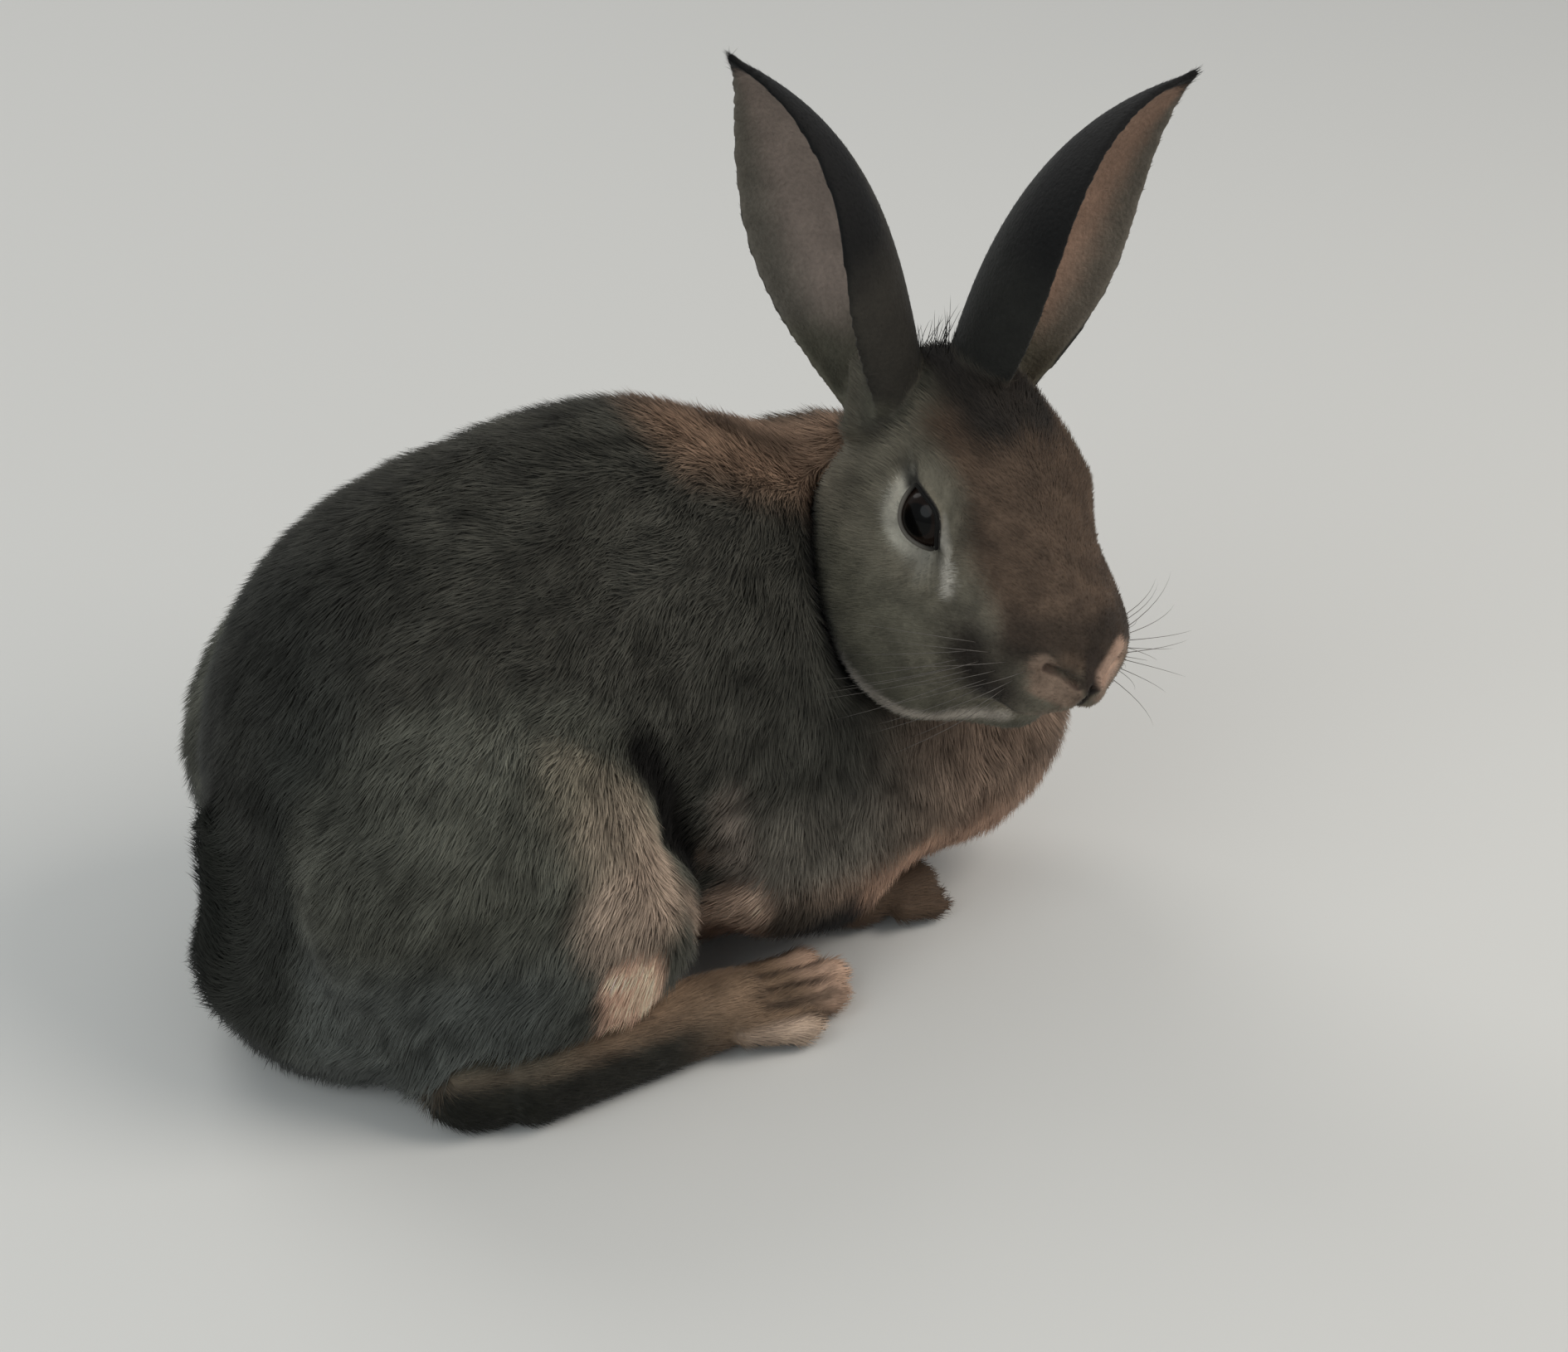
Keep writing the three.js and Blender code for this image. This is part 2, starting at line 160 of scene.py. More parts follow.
def arrays_of(mesh):
    verts = np.empty(len(mesh.vertices) * 3, np.float32)
    mesh.vertices.foreach_get("co", verts)
    mesh.calc_loop_triangles()
    tris = np.empty(len(mesh.loop_triangles) * 3, np.int32)
    mesh.loop_triangles.foreach_get("vertices", tris)
    return verts.reshape(-1, 3).astype(float), tris.reshape(-1, 3)


def mesh_from(name, verts, tris):
    mesh = bpy.data.meshes.new(name)
    mesh.vertices.add(len(verts))
    mesh.vertices.foreach_set("co", np.asarray(verts, np.float32).ravel())
    mesh.loops.add(len(tris) * 3)
    mesh.loops.foreach_set("vertex_index", np.asarray(tris, np.int32).ravel())
    mesh.polygons.add(len(tris))
    mesh.polygons.foreach_set("loop_start", np.arange(0, len(tris) * 3, 3, dtype=np.int32))
    mesh.update(calc_edges=True)
    return mesh


def joined(parts):
    verts, tris, count = [], [], 0
    for part_verts, part_tris in parts:
        verts.append(part_verts)
        tris.append(np.asarray(part_tris) + count)
        count += len(part_verts)
    return np.concatenate(verts), np.concatenate(tris)


def welded(verts, tris):
    """Joins the vertices that lie together."""
    _, first, back = np.unique(
        np.round(verts, 3), axis=0, return_index=True, return_inverse=True
    )
    tris = back.reshape(-1)[tris]
    whole = (tris[:, 0] != tris[:, 1]) & (tris[:, 1] != tris[:, 2]) & (tris[:, 0] != tris[:, 2])
    return verts[first], tris[whole]


def normals_of(verts, tris):
    a, b, c = verts[tris].transpose(1, 0, 2)
    across = np.cross(b - a, c - a)
    total = np.zeros_like(verts)
    for k in range(3):
        for axis in range(3):
            total[:, axis] += np.bincount(tris[:, k], across[:, axis], len(verts))
    return unit(total)


def edges_of(tris):
    pairs = np.sort(np.concatenate([tris[:, [0, 1]], tris[:, [1, 2]], tris[:, [2, 0]]]), axis=1)
    return np.unique(pairs, axis=0)


def spread(values, edges, passes, factor=0.6, where=None):
    """Averages values over the mesh's edges, by the share that where gives each vertex."""
    count = len(values)
    flat = values.reshape(count, -1).astype(float)
    a, b = edges.T
    degree = np.maximum(np.bincount(edges.ravel(), minlength=count), 1)[:, None]
    for _ in range(passes):
        sums = [np.bincount(a, v[b], count) + np.bincount(b, v[a], count) for v in flat.T]
        step = factor * (np.stack(sums, axis=1) / degree - flat)
        flat = flat + (step if where is None else step * where[:, None])
    return flat.reshape(values.shape)


def relaxed(verts, tris, passes, where=None):
    """Smooths a surface, or the part of it given by where, with little loss of volume."""
    edges = edges_of(tris)
    for _ in range(passes):
        for factor in (0.6, -0.57):
            verts = spread(verts, edges, 1, factor, where)
    return verts


def modified(mesh, kind, **settings):
    """The mesh after one modifier, as arrays."""
    holder = bpy.data.objects.new("holder", mesh)
    bpy.context.scene.collection.objects.link(holder)
    modifier = holder.modifiers.new("change", kind)
    for key, value in settings.items():
        setattr(modifier, key, value)
    shaped = holder.evaluated_get(bpy.context.evaluated_depsgraph_get())
    verts, tris = arrays_of(shaped.to_mesh())
    shaped.to_mesh_clear()
    bpy.data.objects.remove(holder)
    bpy.data.meshes.remove(mesh)
    return verts, tris


def fused(parts, voxel):
    """One closed surface around all the parts."""
    mesh = mesh_from("fused", *joined(parts))
    return modified(mesh, "REMESH", mode="VOXEL", voxel_size=voxel, adaptivity=0.0)


# ---- plain forms

def ball(at, half, rings=24):
    """An ellipsoid in the body's own axes."""
    turns = 2 * rings
    polar = np.linspace(0, math.pi, rings + 1)[1:-1]
    around = np.linspace(0, 2 * math.pi, turns, endpoint=False)
    p, q = np.meshgrid(polar, around, indexing="ij")
    body = np.stack([np.sin(p) * np.cos(q), np.sin(p) * np.sin(q), np.cos(p)], -1).reshape(-1, 3)
    verts = np.concatenate([body, [[0, 0, 1], [0, 0, -1]]])
    north, south = len(body), len(body) + 1
    last = (len(polar) - 1) * turns
    tris = []
    for i in range(turns):
        j = (i + 1) % turns
        tris += [(north, i, j), (south, last + j, last + i)]
        for r in range(0, last, turns):
            a, b = r + i, r + j
            tris += [(a, a + turns, b), (b, a + turns, b + turns)]
    return verts * np.asarray(half, float) + np.asarray(at, float), np.array(tris)


def rod(start, end, start_radius, end_radius, rings=16):
    """A tapered rod with round ends."""
    start, end = np.asarray(start, float), np.asarray(end, float)
    along = unit(end - start)
    verts, tris = ball((0, 0, 0), (1, 1, 1), rings)
    aside = unit(np.cross(along, [0.0, 0.0, 1.0] if abs(along[2]) < 0.9 else [1.0, 0.0, 0.0]))
    axes = np.array([aside, np.cross(along, aside), along])
    shape = verts @ axes
    far = (verts[:, 2] > 0)[:, None]
    return np.where(far, end + shape * end_radius, start + shape * start_radius), tris


def tube_faces(rings, turns, closed=False, split=((0, 1, 2), (0, 2, 3))):
    """Triangles between rings of vertices, and from the last ring to the first if closed. Each
    quad between two rings is split the way given."""
    tris = []
    for ring in range(rings if closed else rings - 1):
        here, after = ring * turns, (ring + 1) % rings * turns
        for i in range(turns):
            j = (i + 1) % turns
            quad = (here + i, here + j, after + j, after + i)
            tris += [tuple(quad[corner] for corner in half) for half in split]
    return tris


# ---- the skin's first forms

BODY_NODES = ("trunk", "neck", "tail", "haunch_right", "haunch_left",
              "fore_leg_right", "fore_leg_left")
SKIN_NODES = BODY_NODES + ("head", "nose", "ear_right", "ear_left", "hind_foot_right",
                           "hind_foot_left", "fore_foot_right", "fore_foot_left")
CLOSING = 0.35  # mm that each node is grown, to close the cuts between them
BODY_VOXEL, HEAD_VOXEL, FINE_VOXEL = 2.6, 1.7, 1.0
CREASE_WIDTH = 5.5
CREASE_DEPTH = 4.6  # how far the flesh beside a crease is drawn in beyond the coat's depth
KNEE_REACH, KNEE_SET_BACK = 17.0, 9.0


def node_shape(node, growth):
    verts, tris = arrays_of(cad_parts[node].data)
    verts, tris = welded(verts / MM, tris)
    return verts + growth * normals_of(verts, tris), tris


def outside_oval(points, at, half, pitch=0.0):
    """About how far points lie outside an ellipsoid laid out on the body."""
    turn = math.radians(pitch)
    axes = np.array([[math.cos(turn), 0, math.sin(turn)], [0, 1, 0],
                     [-math.sin(turn), 0, math.cos(turn)]])
    local = (points - np.asarray(at)) @ axes.T / np.asarray(half)
    share = np.linalg.norm(local, axis=1)
    slope = np.linalg.norm(local / np.asarray(half), axis=1)
    return share * (share - 1.0) / np.maximum(slope, 1e-6)


def in_body(x, y, z):
    return np.array([x * L, y * W, z * T])


def outside_trunk(p):
    """About how far laid-out points lie outside the rump, loin, ribs and belly."""
    return np.minimum.reduce([
        outside_oval(p, in_body(-0.195, 0, 0.48), in_body(0.268, 0.42, 0.465)),
        outside_oval(p, in_body(-0.05, 0, 0.53), in_body(0.33, 0.32, 0.485), -2),
        outside_oval(p, in_body(0.12, 0.02, 0.44), in_body(0.25, 0.27, 0.41), -17),
        outside_oval(p, in_body(0.03, 0, 0.265), in_body(0.24, 0.27, 0.24)),
    ])


def outside_haunch(p, side):
    return np.minimum(
        outside_oval(p, in_body(-0.24, side * 0.29, 0.4), in_body(0.2, 0.2, 0.32), -8),
        outside_oval(p, in_body(-0.14, side * 0.36, 0.3), (27, 21, 29)),
    )


def haunch_facts(points, side):
    """How near each point lies to the crease round a haunch (0 to 1), and how far it lies on
    the haunch's own side of it (in mm)."""
    p = points - SHIFT
    over = outside_trunk(p) - outside_haunch(p, side)
    forward = ramp(p[:, 0], -0.36 * L, -0.02 * L)
    here = ramp(side * p[:, 1], 0.12 * W, 0.24 * W) * ramp(p[:, 2], 0.1 * T, 0.22 * T)
    near = np.exp(-((over / CREASE_WIDTH) ** 2)) * (0.2 + 0.8 * forward) * here
    return near, np.where(here > 0.02, over, -99.0)


def body_form():
    verts, tris = fused([node_shape(n, CLOSING) for n in BODY_NODES], BODY_VOXEL)
    verts = relaxed(verts, tris, 20)
    normals = normals_of(verts, tris)
    on_floor = ramp(verts[:, 2], 12.0, 2.0) * ramp(-normals[:, 2], 0.2, 0.8)
    depth = BODY_COAT - (BODY_COAT - 1.2) * on_floor
    for side in SIDES.values():
        near, over = haunch_facts(verts, side)
        depth = depth + CREASE_DEPTH * near * ramp(over, 9.0, -2.0)
    verts = verts - normals * depth[:, None]
    for side in SIDES.values():
        knee = np.array([-0.04 * L, side * 0.41 * W, 0.39 * T]) + SHIFT
        close = np.exp(-((np.linalg.norm(verts - knee, axis=1) / KNEE_REACH) ** 2))
        verts = verts - np.outer(close, [KNEE_SET_BACK, 0.0, 0.0])
    return verts, tris


def eye_balls(radius, shift=lambda side: 0.0):
    """A ball on each eye's place, moved by shift in the head's axes."""
    return [ball(from_head(eye_place(side) + shift(side)), [radius] * 3)
            for side in SIDES.values()]


def head_form():
    nodes = [node_shape("head", CLOSING), node_shape("nose", 0.6)]
    verts, tris = fused(nodes + eye_balls(EYE_RADIUS - 1.0), HEAD_VOXEL)
    verts = relaxed(verts, tris, 18)
    return verts - normals_of(verts, tris) * HEAD_COAT, tris


EAR_STATIONS, EAR_ARC = 72, 44
MEDIAL_ROLL = 0.13  # how much further the margins beside each other roll over, as a share


def ear_aims(side, lean, back, facing, **_):
    """The way an ear points, and the way its mouth faces, in the head's axes."""
    lean, back, facing = math.radians(lean), math.radians(back), math.radians(facing)
    up = unit(np.array([-math.tan(back), side * math.tan(lean), 1.0]))
    return up, np.array([math.cos(facing), side * math.sin(facing), 0.0])


def ear_form(side, apart, bow, **aims):
    """The ear's leaf, rolled as the solid is, with its coat's thickness left off."""
    root = np.array([-0.34 * H, apart * H * side, 0.08 * H])
    up, outward = ear_aims(side, **aims)
    tip = root + up * (EAR_LENGTH - 1.0)
    middle = (root + tip) / 2 + np.array([0.0, -2.0 * bow * side, 0.0])
    shares = np.linspace(-1, 1, EAR_ARC)
    rolled = MEDIAL_ROLL * side * ramp(side * shares, 0.3, 1.0)
    rings = []
    for t in np.linspace(0, 1, EAR_STATIONS):
        centre = (1 - t) ** 2 * root + 2 * t * (1 - t) * middle + t * t * tip
        along = unit(2 * (1 - t) * (middle - root) + 2 * t * (tip - middle))
        mouth = unit(outward - along * (outward @ along))
        across = np.cross(mouth, along)
        leaf = math.sin(math.pi * (0.26 + 0.74 * t ** 1.4))
        half_turn = math.radians(150 + (46 - 150) * t ** 0.62)
        blunt = 0.13 * (1 - 0.55 * t ** 30)
        radius = EAR_BREADTH * max(leaf, blunt) / (2 * half_turn)
        wall = min(EAR_THICKNESS * (1.3 + (0.6 - 1.3) * t), 0.8 * radius)
        centre = centre + mouth * 0.6 * radius
        turn = ((shares + rolled * math.sin(math.pi * t)) * half_turn)[:, None]
        aim = -mouth * np.cos(turn) + across * np.sin(turn)
        thick = np.maximum(wall * (1 - 0.55 * shares ** 4) - 2 * EAR_COAT, 1.8)
        outer = centre + aim * (radius - EAR_COAT)
        inner = centre + aim * (radius - EAR_COAT - thick)[:, None]
        rings.append(np.concatenate([outer, inner[::-1]]))
    size = 2 * EAR_ARC
    verts = from_head(np.concatenate(rings))
    tris = tube_faces(EAR_STATIONS, size)
    for start, order in ((0, 1), ((EAR_STATIONS - 1) * size, -1)):
        for i in range(EAR_ARC - 1):
            a, b, c, d = start + i, start + i + 1, start + size - 2 - i, start + size - 1 - i
            tris += [(a, c, b)[::order], (a, d, c)[::order]]
    return verts, np.array(tris)


EAR_ROOT_HALVES = (12.4, 7.5)  # its half breadth at the head and in the ear's hollow
EAR_ROOT_RISE = 11.0
EAR_ROOT_AHEAD = 6.0  # how far its low end stands ahead of the middle of the ear
EAR_ROOT_SET_BACK = 3.0  # and how far its high end is drawn back again


def ear_root(side, apart, **aims):
    """The full base of an ear, which tapers up from the head into the ear's hollow."""
    up, ahead = ear_aims(side, **aims)
    low = np.array([-0.34 * H, apart * H * side, 0.055 * H]) + EAR_ROOT_AHEAD * ahead
    high = low + EAR_ROOT_RISE * up - EAR_ROOT_SET_BACK * ahead
    verts, tris = rod(low, high, *EAR_ROOT_HALVES)
    return from_head(verts), tris


TOES = 4
HIND_TOE_GAP, FORE_TOE_GAP = 6.8, 5.6
LOWEST_SOLE = 0.9


def across_foot(toe, gap):
    return (toe - (TOES - 1) / 2) * gap


def hind_place(side, along, aside, up):
    return np.array([-0.3 * L + along * FOOT_LENGTH, side * (0.39 * W + aside), up]) + SHIFT


def fore_place(side, along, aside, up):
    return np.array([0.225 * L + along, side * (0.18 * W + aside), up]) + SHIFT


def hind_toe(side, toe):
    """Where a hind toe starts and ends."""
    aside = across_foot(toe, HIND_TOE_GAP)
    reach = 0.94 - 0.04 * abs(toe - 1) - 0.07 * (toe == TOES - 1)
    return hind_place(side, 0.66, 0.9 * aside, 9.0), hind_place(side, reach, 1.2 * aside, 6.7)


def fore_toe(side, toe):
    aside = across_foot(toe, FORE_TOE_GAP)
    reach = 22 - 1.8 * abs(toe - 1.3)
    return fore_place(side, 9, aside, 7.2), fore_place(side, reach, 1.1 * aside, 5.4)


def toe_forms(side, toe_ends, start_half, end_half, tip_half):
    """The toes of a foot, each a rod with a rounder end."""
    parts = []
    for toe in range(TOES):
        start, end = toe_ends(side, toe)
        parts += [rod(start, end, start_half - FOOT_COAT, end_half - FOOT_COAT),
                  ball(end, np.array(tip_half) - FOOT_COAT)]
    return parts


def hind_foot_form(side):
    heel = ball(hind_place(side, 0.04, 0, 12), np.array([18, 13, 14]) - FOOT_COAT)
    shank = rod(hind_place(side, 0.14, 3, 12), hind_place(side, 0.66, 0, 10.5),
                16 - 2 * FOOT_COAT, 12.5 - 2 * FOOT_COAT)
    return [heel, shank] + toe_forms(side, hind_toe, 6.0, 5.4, (7.6, 5.5, 6.3))


def fore_foot_form(side):
    wrist = ball(fore_place(side, 0, 0, 11), np.array([13, 10.5, 11]) - FOOT_COAT)
    paw = ball(fore_place(side, 12, 0, 9), np.array([13, 11, 8.5]) - FOOT_COAT)
    return [wrist, paw] + toe_forms(side, fore_toe, 4.8, 4.5, (5.6, 4.4, 4.7))


def foot_forms():
    """The four feet, kept just above the floor."""
    parts = []
    for side in SIDES.values():
        parts += hind_foot_form(side) + fore_foot_form(side)
    return [(np.maximum(verts, [-1e9, -1e9, LOWEST_SOLE]), tris) for verts, tris in parts]


# ---- the face, carved

LID = 1.0  # how far the lids stand off the eyeball
SOCKET_SLOPE = 11.0  # mm that the face may stand out from the lids for each further opening
EYE_OPEN = (math.radians(51), math.radians(36))  # half the opening, lengthways and upright


def eye_axes(side):
    """The way an eye looks, the length of its slit and across it, in the head's axes."""
    look = unit(np.array([0.3, side * 1.0, 0.15]))
    along = np.array([0.785, 0.0, -0.61])
    slit = unit(along - look * (look @ along))
    return look, slit, np.cross(look, slit) * -side


def to_corners(around):
    """How much further the opening reaches at each way round it: most at its two corners."""
    return 1 + 0.2 * np.abs(np.cos(around)) ** 6


def eye_reach(local, side):
    """Each point's distance from the eye's centre, the way it lies from there, and how far
    round the lids it lies: 1 on the edge of the opening."""
    away = local - eye_place(side)
    distance = np.linalg.norm(away, axis=1)
    aim = away / np.maximum(distance, 1e-6)[:, None]
    look, slit, upright = eye_axes(side)
    ahead = aim @ look
    length = np.arctan2(aim @ slit, ahead)
    height = np.arctan2(aim @ upright, ahead)
    round_slit = np.hypot(length / EYE_OPEN[0], height / EYE_OPEN[1])
    return distance, aim, round_slit / to_corners(np.arctan2(height, length))


OPENING_EDGE = 1.04  # the reach at which the skin turns in behind the opening
OPENING_DEPTH = 2.6
FOLD_REACH, FOLD_WIDTH, FOLD_HEIGHT = 1.16, 0.1, 0.45


def with_lids(verts):
    """Draws the skin in behind each eye's opening, and up over the ball around it."""
    local = in_head(verts)
    for side in SIDES.values():
        distance, aim, reach = eye_reach(local, side)
        near = (distance < EYE_RADIUS + 10) & (reach < 2.2)
        inside = near & (reach < OPENING_EDGE)
        slope = EYE_RADIUS + LID + 0.6 + SOCKET_SLOPE * np.maximum(reach - 1.1, 0.0)
        depth = EYE_RADIUS - OPENING_DEPTH * ramp(reach, OPENING_EDGE, OPENING_EDGE - 0.1)
        fold = FOLD_HEIGHT * np.exp(-(((reach - FOLD_REACH) / FOLD_WIDTH) ** 2))
        rim = EYE_RADIUS + LID * ramp(reach, 0.98, 1.1) + fold
        wanted = np.where(inside, depth, np.minimum(np.maximum(distance, rim), slope))
        target = aim * wanted[:, None] + eye_place(side)
        local = np.where(near[:, None], target, local)
    return from_head(local)


def beside_lids(local):
    """The share of each point that lies on the face just beyond the lids."""
    share = np.zeros(len(local))
    for side in SIDES.values():
        distance, _, reach = eye_reach(local, side)
        here = ramp(distance, EYE_RADIUS + 14, EYE_RADIUS + 10) * ramp(reach, 1.2, 1.45)
        share = np.maximum(share, np.where(distance < EYE_RADIUS + 14, here, 0.0))
    return share


def off_the_eyes(verts):
    """Lifts the skin round each opening clear of the eyeball."""
    local = in_head(verts)
    for side in SIDES.values():
        distance, aim, reach = eye_reach(local, side)
        low = (distance < EYE_RADIUS + LID) & (reach > 1.1)
        lifted = aim * (EYE_RADIUS + LID) + eye_place(side)
        local = np.where(low[:, None], lifted, local)
    return from_head(local)


LID_TUBE = 0.6
LID_TUBE_RAISED = 0.45  # how far the tube's middle stands off the eyeball
LID_TUBE_REACH = 1.03


def lid_margin(side, steps=96, turns=12):
    """The smooth edge of both lids: a closed tube round the opening, in the head's axes."""
    look, slit, upright = eye_axes(side)
    around = np.linspace(0, 2 * math.pi, steps, endpoint=False)
    reach = LID_TUBE_REACH * to_corners(around)
    length = np.tan(EYE_OPEN[0] * reach * np.cos(around))[:, None]
    height = np.tan(EYE_OPEN[1] * reach * np.sin(around))[:, None]
    aims = unit(look + slit * length + upright * height)
    across = np.cross(unit(np.roll(aims, -1, axis=0) - np.roll(aims, 1, axis=0)), aims)
    middle = aims * (EYE_RADIUS + LID_TUBE_RAISED)
    rim = [LID_TUBE * (aims * math.cos(turn) + across * 1.15 * math.sin(turn))
           for turn in np.linspace(0, 2 * math.pi, turns, endpoint=False)]
    rim = np.stack(rim, axis=1)
    verts = (middle[:, None] + rim).reshape(-1, 3) + eye_place(side)
    tris = np.array(tube_faces(steps, turns, closed=True))
    facing = np.einsum("ij,ij->i", normals_of(verts, tris), rim.reshape(-1, 3)).mean()
    return verts, tris if facing > 0 else tris[:, ::-1]


def segment_distance(points, start, end):
    start, end = np.asarray(start, float), np.asarray(end, float)
    along = end - start
    t = np.clip((points - start) @ along / (along @ along), 0, 1)
    return np.linalg.norm(points - start - t[:, None] * along, axis=1)


def path_distance(local, path, side):
    """How far each point lies from a path given for the animal's right, on either side."""
    path = [np.array([x, -side * y, z]) for x, y, z in path]
    legs = [segment_distance(local, start, end) for start, end in zip(path, path[1:])]
    return np.minimum.reduce(legs)


def either_side(local, path):
    """How far each point lies from a path given for the animal's right, or from its mirror."""
    return np.minimum(path_distance(local, path, 1), path_distance(local, path, -1))


# Paths on the muzzle, in the head's own axes and on the animal's right
NOSTRIL = [(46.6, -11.4, -11.8), (49.0, -8.2, -12.6), (51.6, -4.4, -14.4)]
NOSTRIL_TOP = [(46.5, -10.5, -8.6), (51.0, -4.6, -10.6)]
PHILTRUM = [(53.5, 0.0, -14.5), (51.5, 0.0, -20.0), (48.0, 0.0, -29.0)]
MOUTH = [(47.0, 0.0, -29.5), (39.0, -8.5, -33.5), (27.0, -14.5, -34.0)]
UPPER_LIP = [(48.5, -4.0, -21.5), (42.0, -10.0, -26.5)]
WHISKER_PAD = [(39.0, -13.0, -20.0), (29.0, -18.0, -22.0)]
CHIN = [(38.0, 0.0, -38.0), (26.0, -4.0, -43.0)]
BROW = [(4.0, -17.0, 9.5), (-9.0, -18.5, 10.5)]
# Painted shade at the upper rear corner of each eye
EYE_CORNER_SHADE = [(-8.1, -24.4, 4.3), (-11.5, -25.0, 7.0)]


def carved(verts, normals):
    """Cuts the nostrils, the cleft of the lip and the mouth into the muzzle, and swells the
    lips, the chin and the brows. Each shape has its path, its reach and its depth."""
    local = in_head(verts)
    shapes = [
        (NOSTRIL, 1.15, 3.0), (NOSTRIL_TOP, 1.9, -0.8), (MOUTH, 1.1, 1.6),
        (UPPER_LIP, 5.0, -3.1), (WHISKER_PAD, 6.5, -1.0), (CHIN, 6.0, -1.8), (BROW, 5.0, -1.5),
    ]
    cut = np.zeros(len(verts))
    for path, reach, depth in shapes:
        cut += depth * np.exp(-((either_side(local, path) / reach) ** 2))
    cut += 1.9 * np.exp(-((path_distance(local, PHILTRUM, 1) / 1.1) ** 2))
    return verts - normals * cut[:, None]


def bare_face(local):
    """How bare of hair the skin is: 1 at the lids' edges and in the nostrils."""
    bare = ramp(path_distance(local, PHILTRUM, 1), 1.0, 0.6)
    for side in SIDES.values():
        distance, _, reach = eye_reach(local, side)
        near = distance < EYE_RADIUS + 4
        bare = np.maximum(bare, np.where(near, ramp(reach, 1.2, 1.1), 0.0))
        bare = np.maximum(bare, ramp(path_distance(local, NOSTRIL, side), 1.7, 1.1))
    return bare


# ---- the skin

def nearest_nodes(points):
    """The index in SKIN_NODES of the node that each point lies nearest to."""
    shapes = [node_shape(n, 0.0) for n in SKIN_NODES]
    owner = np.repeat(np.arange(len(shapes)), [len(tris) for _, tris in shapes])
    verts, tris = joined(shapes)
    tree = BVHTree.FromPolygons(verts.tolist(), tris.tolist())
    return owner[[tree.find_nearest(p)[2] for p in points.tolist()]]


def refined(verts, tris, near):
    """Splits each triangle that has all three corners near into four, and its neighbours to
    match."""
    sides = tris[near[tris].all(axis=1)][:, [0, 1, 1, 2, 2, 0]].reshape(-1, 2)
    cut = np.unique(np.sort(sides, axis=1), axis=0).astype(np.int64)
    keys = cut[:, 0] * len(verts) + cut[:, 1]

    def middle_of(a, b):
        key = np.minimum(a, b).astype(np.int64) * len(verts) + np.maximum(a, b)
        at = np.clip(np.searchsorted(keys, key), 0, len(keys) - 1)
        return np.where(keys[at] == key, at + len(verts), -1)

    def faces(chosen, *corners):
        return np.stack([k[chosen] for k in corners], axis=1)

    a, b, c = tris.T
    ab, bc, ca = middle_of(a, b), middle_of(b, c), middle_of(c, a)
    count = (ab >= 0).astype(int) + (bc >= 0) + (ca >= 0)
    made = [tris[count == 0]]
    for corners in ((a, ab, ca), (ab, b, bc), (ca, bc, c), (ab, bc, ca)):
        made.append(faces(count == 3, *corners))
    for first, second, third, m, after, before in (
        (a, b, c, ab, bc, ca), (b, c, a, bc, ca, ab), (c, a, b, ca, ab, bc)
    ):
        one = (count == 1) & (m >= 0)
        made += [faces(one, first, m, third), faces(one, m, second, third)]
        two = (count == 2) & (m < 0)
        made += [faces(two, third, before, after), faces(two, before, first, second),
                 faces(two, before, second, after)]
    return np.concatenate([verts, verts[cut].mean(axis=1)]), np.concatenate(made)


ORBIT_SWELL = 0.9  # how far the orbit stands off the eyeball
UNDER_EYE_SWELL, UNDER_EYE_DROP = 2.8, 2.4  # the fuller flesh beneath each eye
NOSE_START, NOSE_HALF = 0.36 * H, 14
KEPT_SHARE = 0.28  # of the fine skin's triangles, once it is thinned
REFINED_WITHIN = (11.0, 4.0)  # mm from the eyeballs, one split after the other


def about_face(verts, margin):
    """Which points lie within a margin of an eye, or on the nose."""
    x, y, z = in_head(verts).T
    to_eye = np.stack([x, np.abs(y), z], axis=1) - eye_place(1)
    on_nose = (x > NOSE_START) & (np.abs(y) < NOSE_HALF)
    return (np.linalg.norm(to_eye, axis=1) < EYE_RADIUS + margin) | on_nose


def skin_form():
    """The whole skin, finest about the eyes and the muzzle and coarser over the body."""
    parts = [body_form(), head_form()]
    parts += eye_balls(EYE_RADIUS + ORBIT_SWELL, lambda side: -np.array([0, 0.2 * side, 0]))
    parts += eye_balls(
        EYE_RADIUS + UNDER_EYE_SWELL, lambda side: -UNDER_EYE_DROP * eye_axes(side)[2]
    )
    for form in (ear_form, ear_root):
        parts += [form(SIDES[name], **shape) for name, shape in EARS.items()]
    verts, tris = fused(parts + foot_forms(), FINE_VOXEL)
    verts = relaxed(verts, tris, 5)
    verts, tris = modified(mesh_from("thinned", verts, tris), "DECIMATE", ratio=KEPT_SHARE)
    verts = relaxed(verts, tris, 6, ramp(in_head(verts)[:, 2], 24.0, 34.0))
    for margin in REFINED_WITHIN:
        verts, tris = refined(verts, tris, about_face(verts, margin))
    verts = with_lids(carved(verts, normals_of(verts, tris)))
    verts = relaxed(verts, tris, 8, beside_lids(in_head(verts)))
    return off_the_eyes(verts), tris


SKIN_VERTS, SKIN_TRIS = skin_form()
SKIN_NORMALS = normals_of(SKIN_VERTS, SKIN_TRIS)
SKIN_EDGES = edges_of(SKIN_TRIS)
SKIN_OWNER = nearest_nodes(SKIN_VERTS)


def region(*nodes, passes=10):
    """How much each point of the skin belongs to some nodes, soft at their edges."""
    inside = np.isin(SKIN_OWNER, [SKIN_NODES.index(n) for n in nodes]).astype(float)
    return spread(inside, SKIN_EDGES, passes)


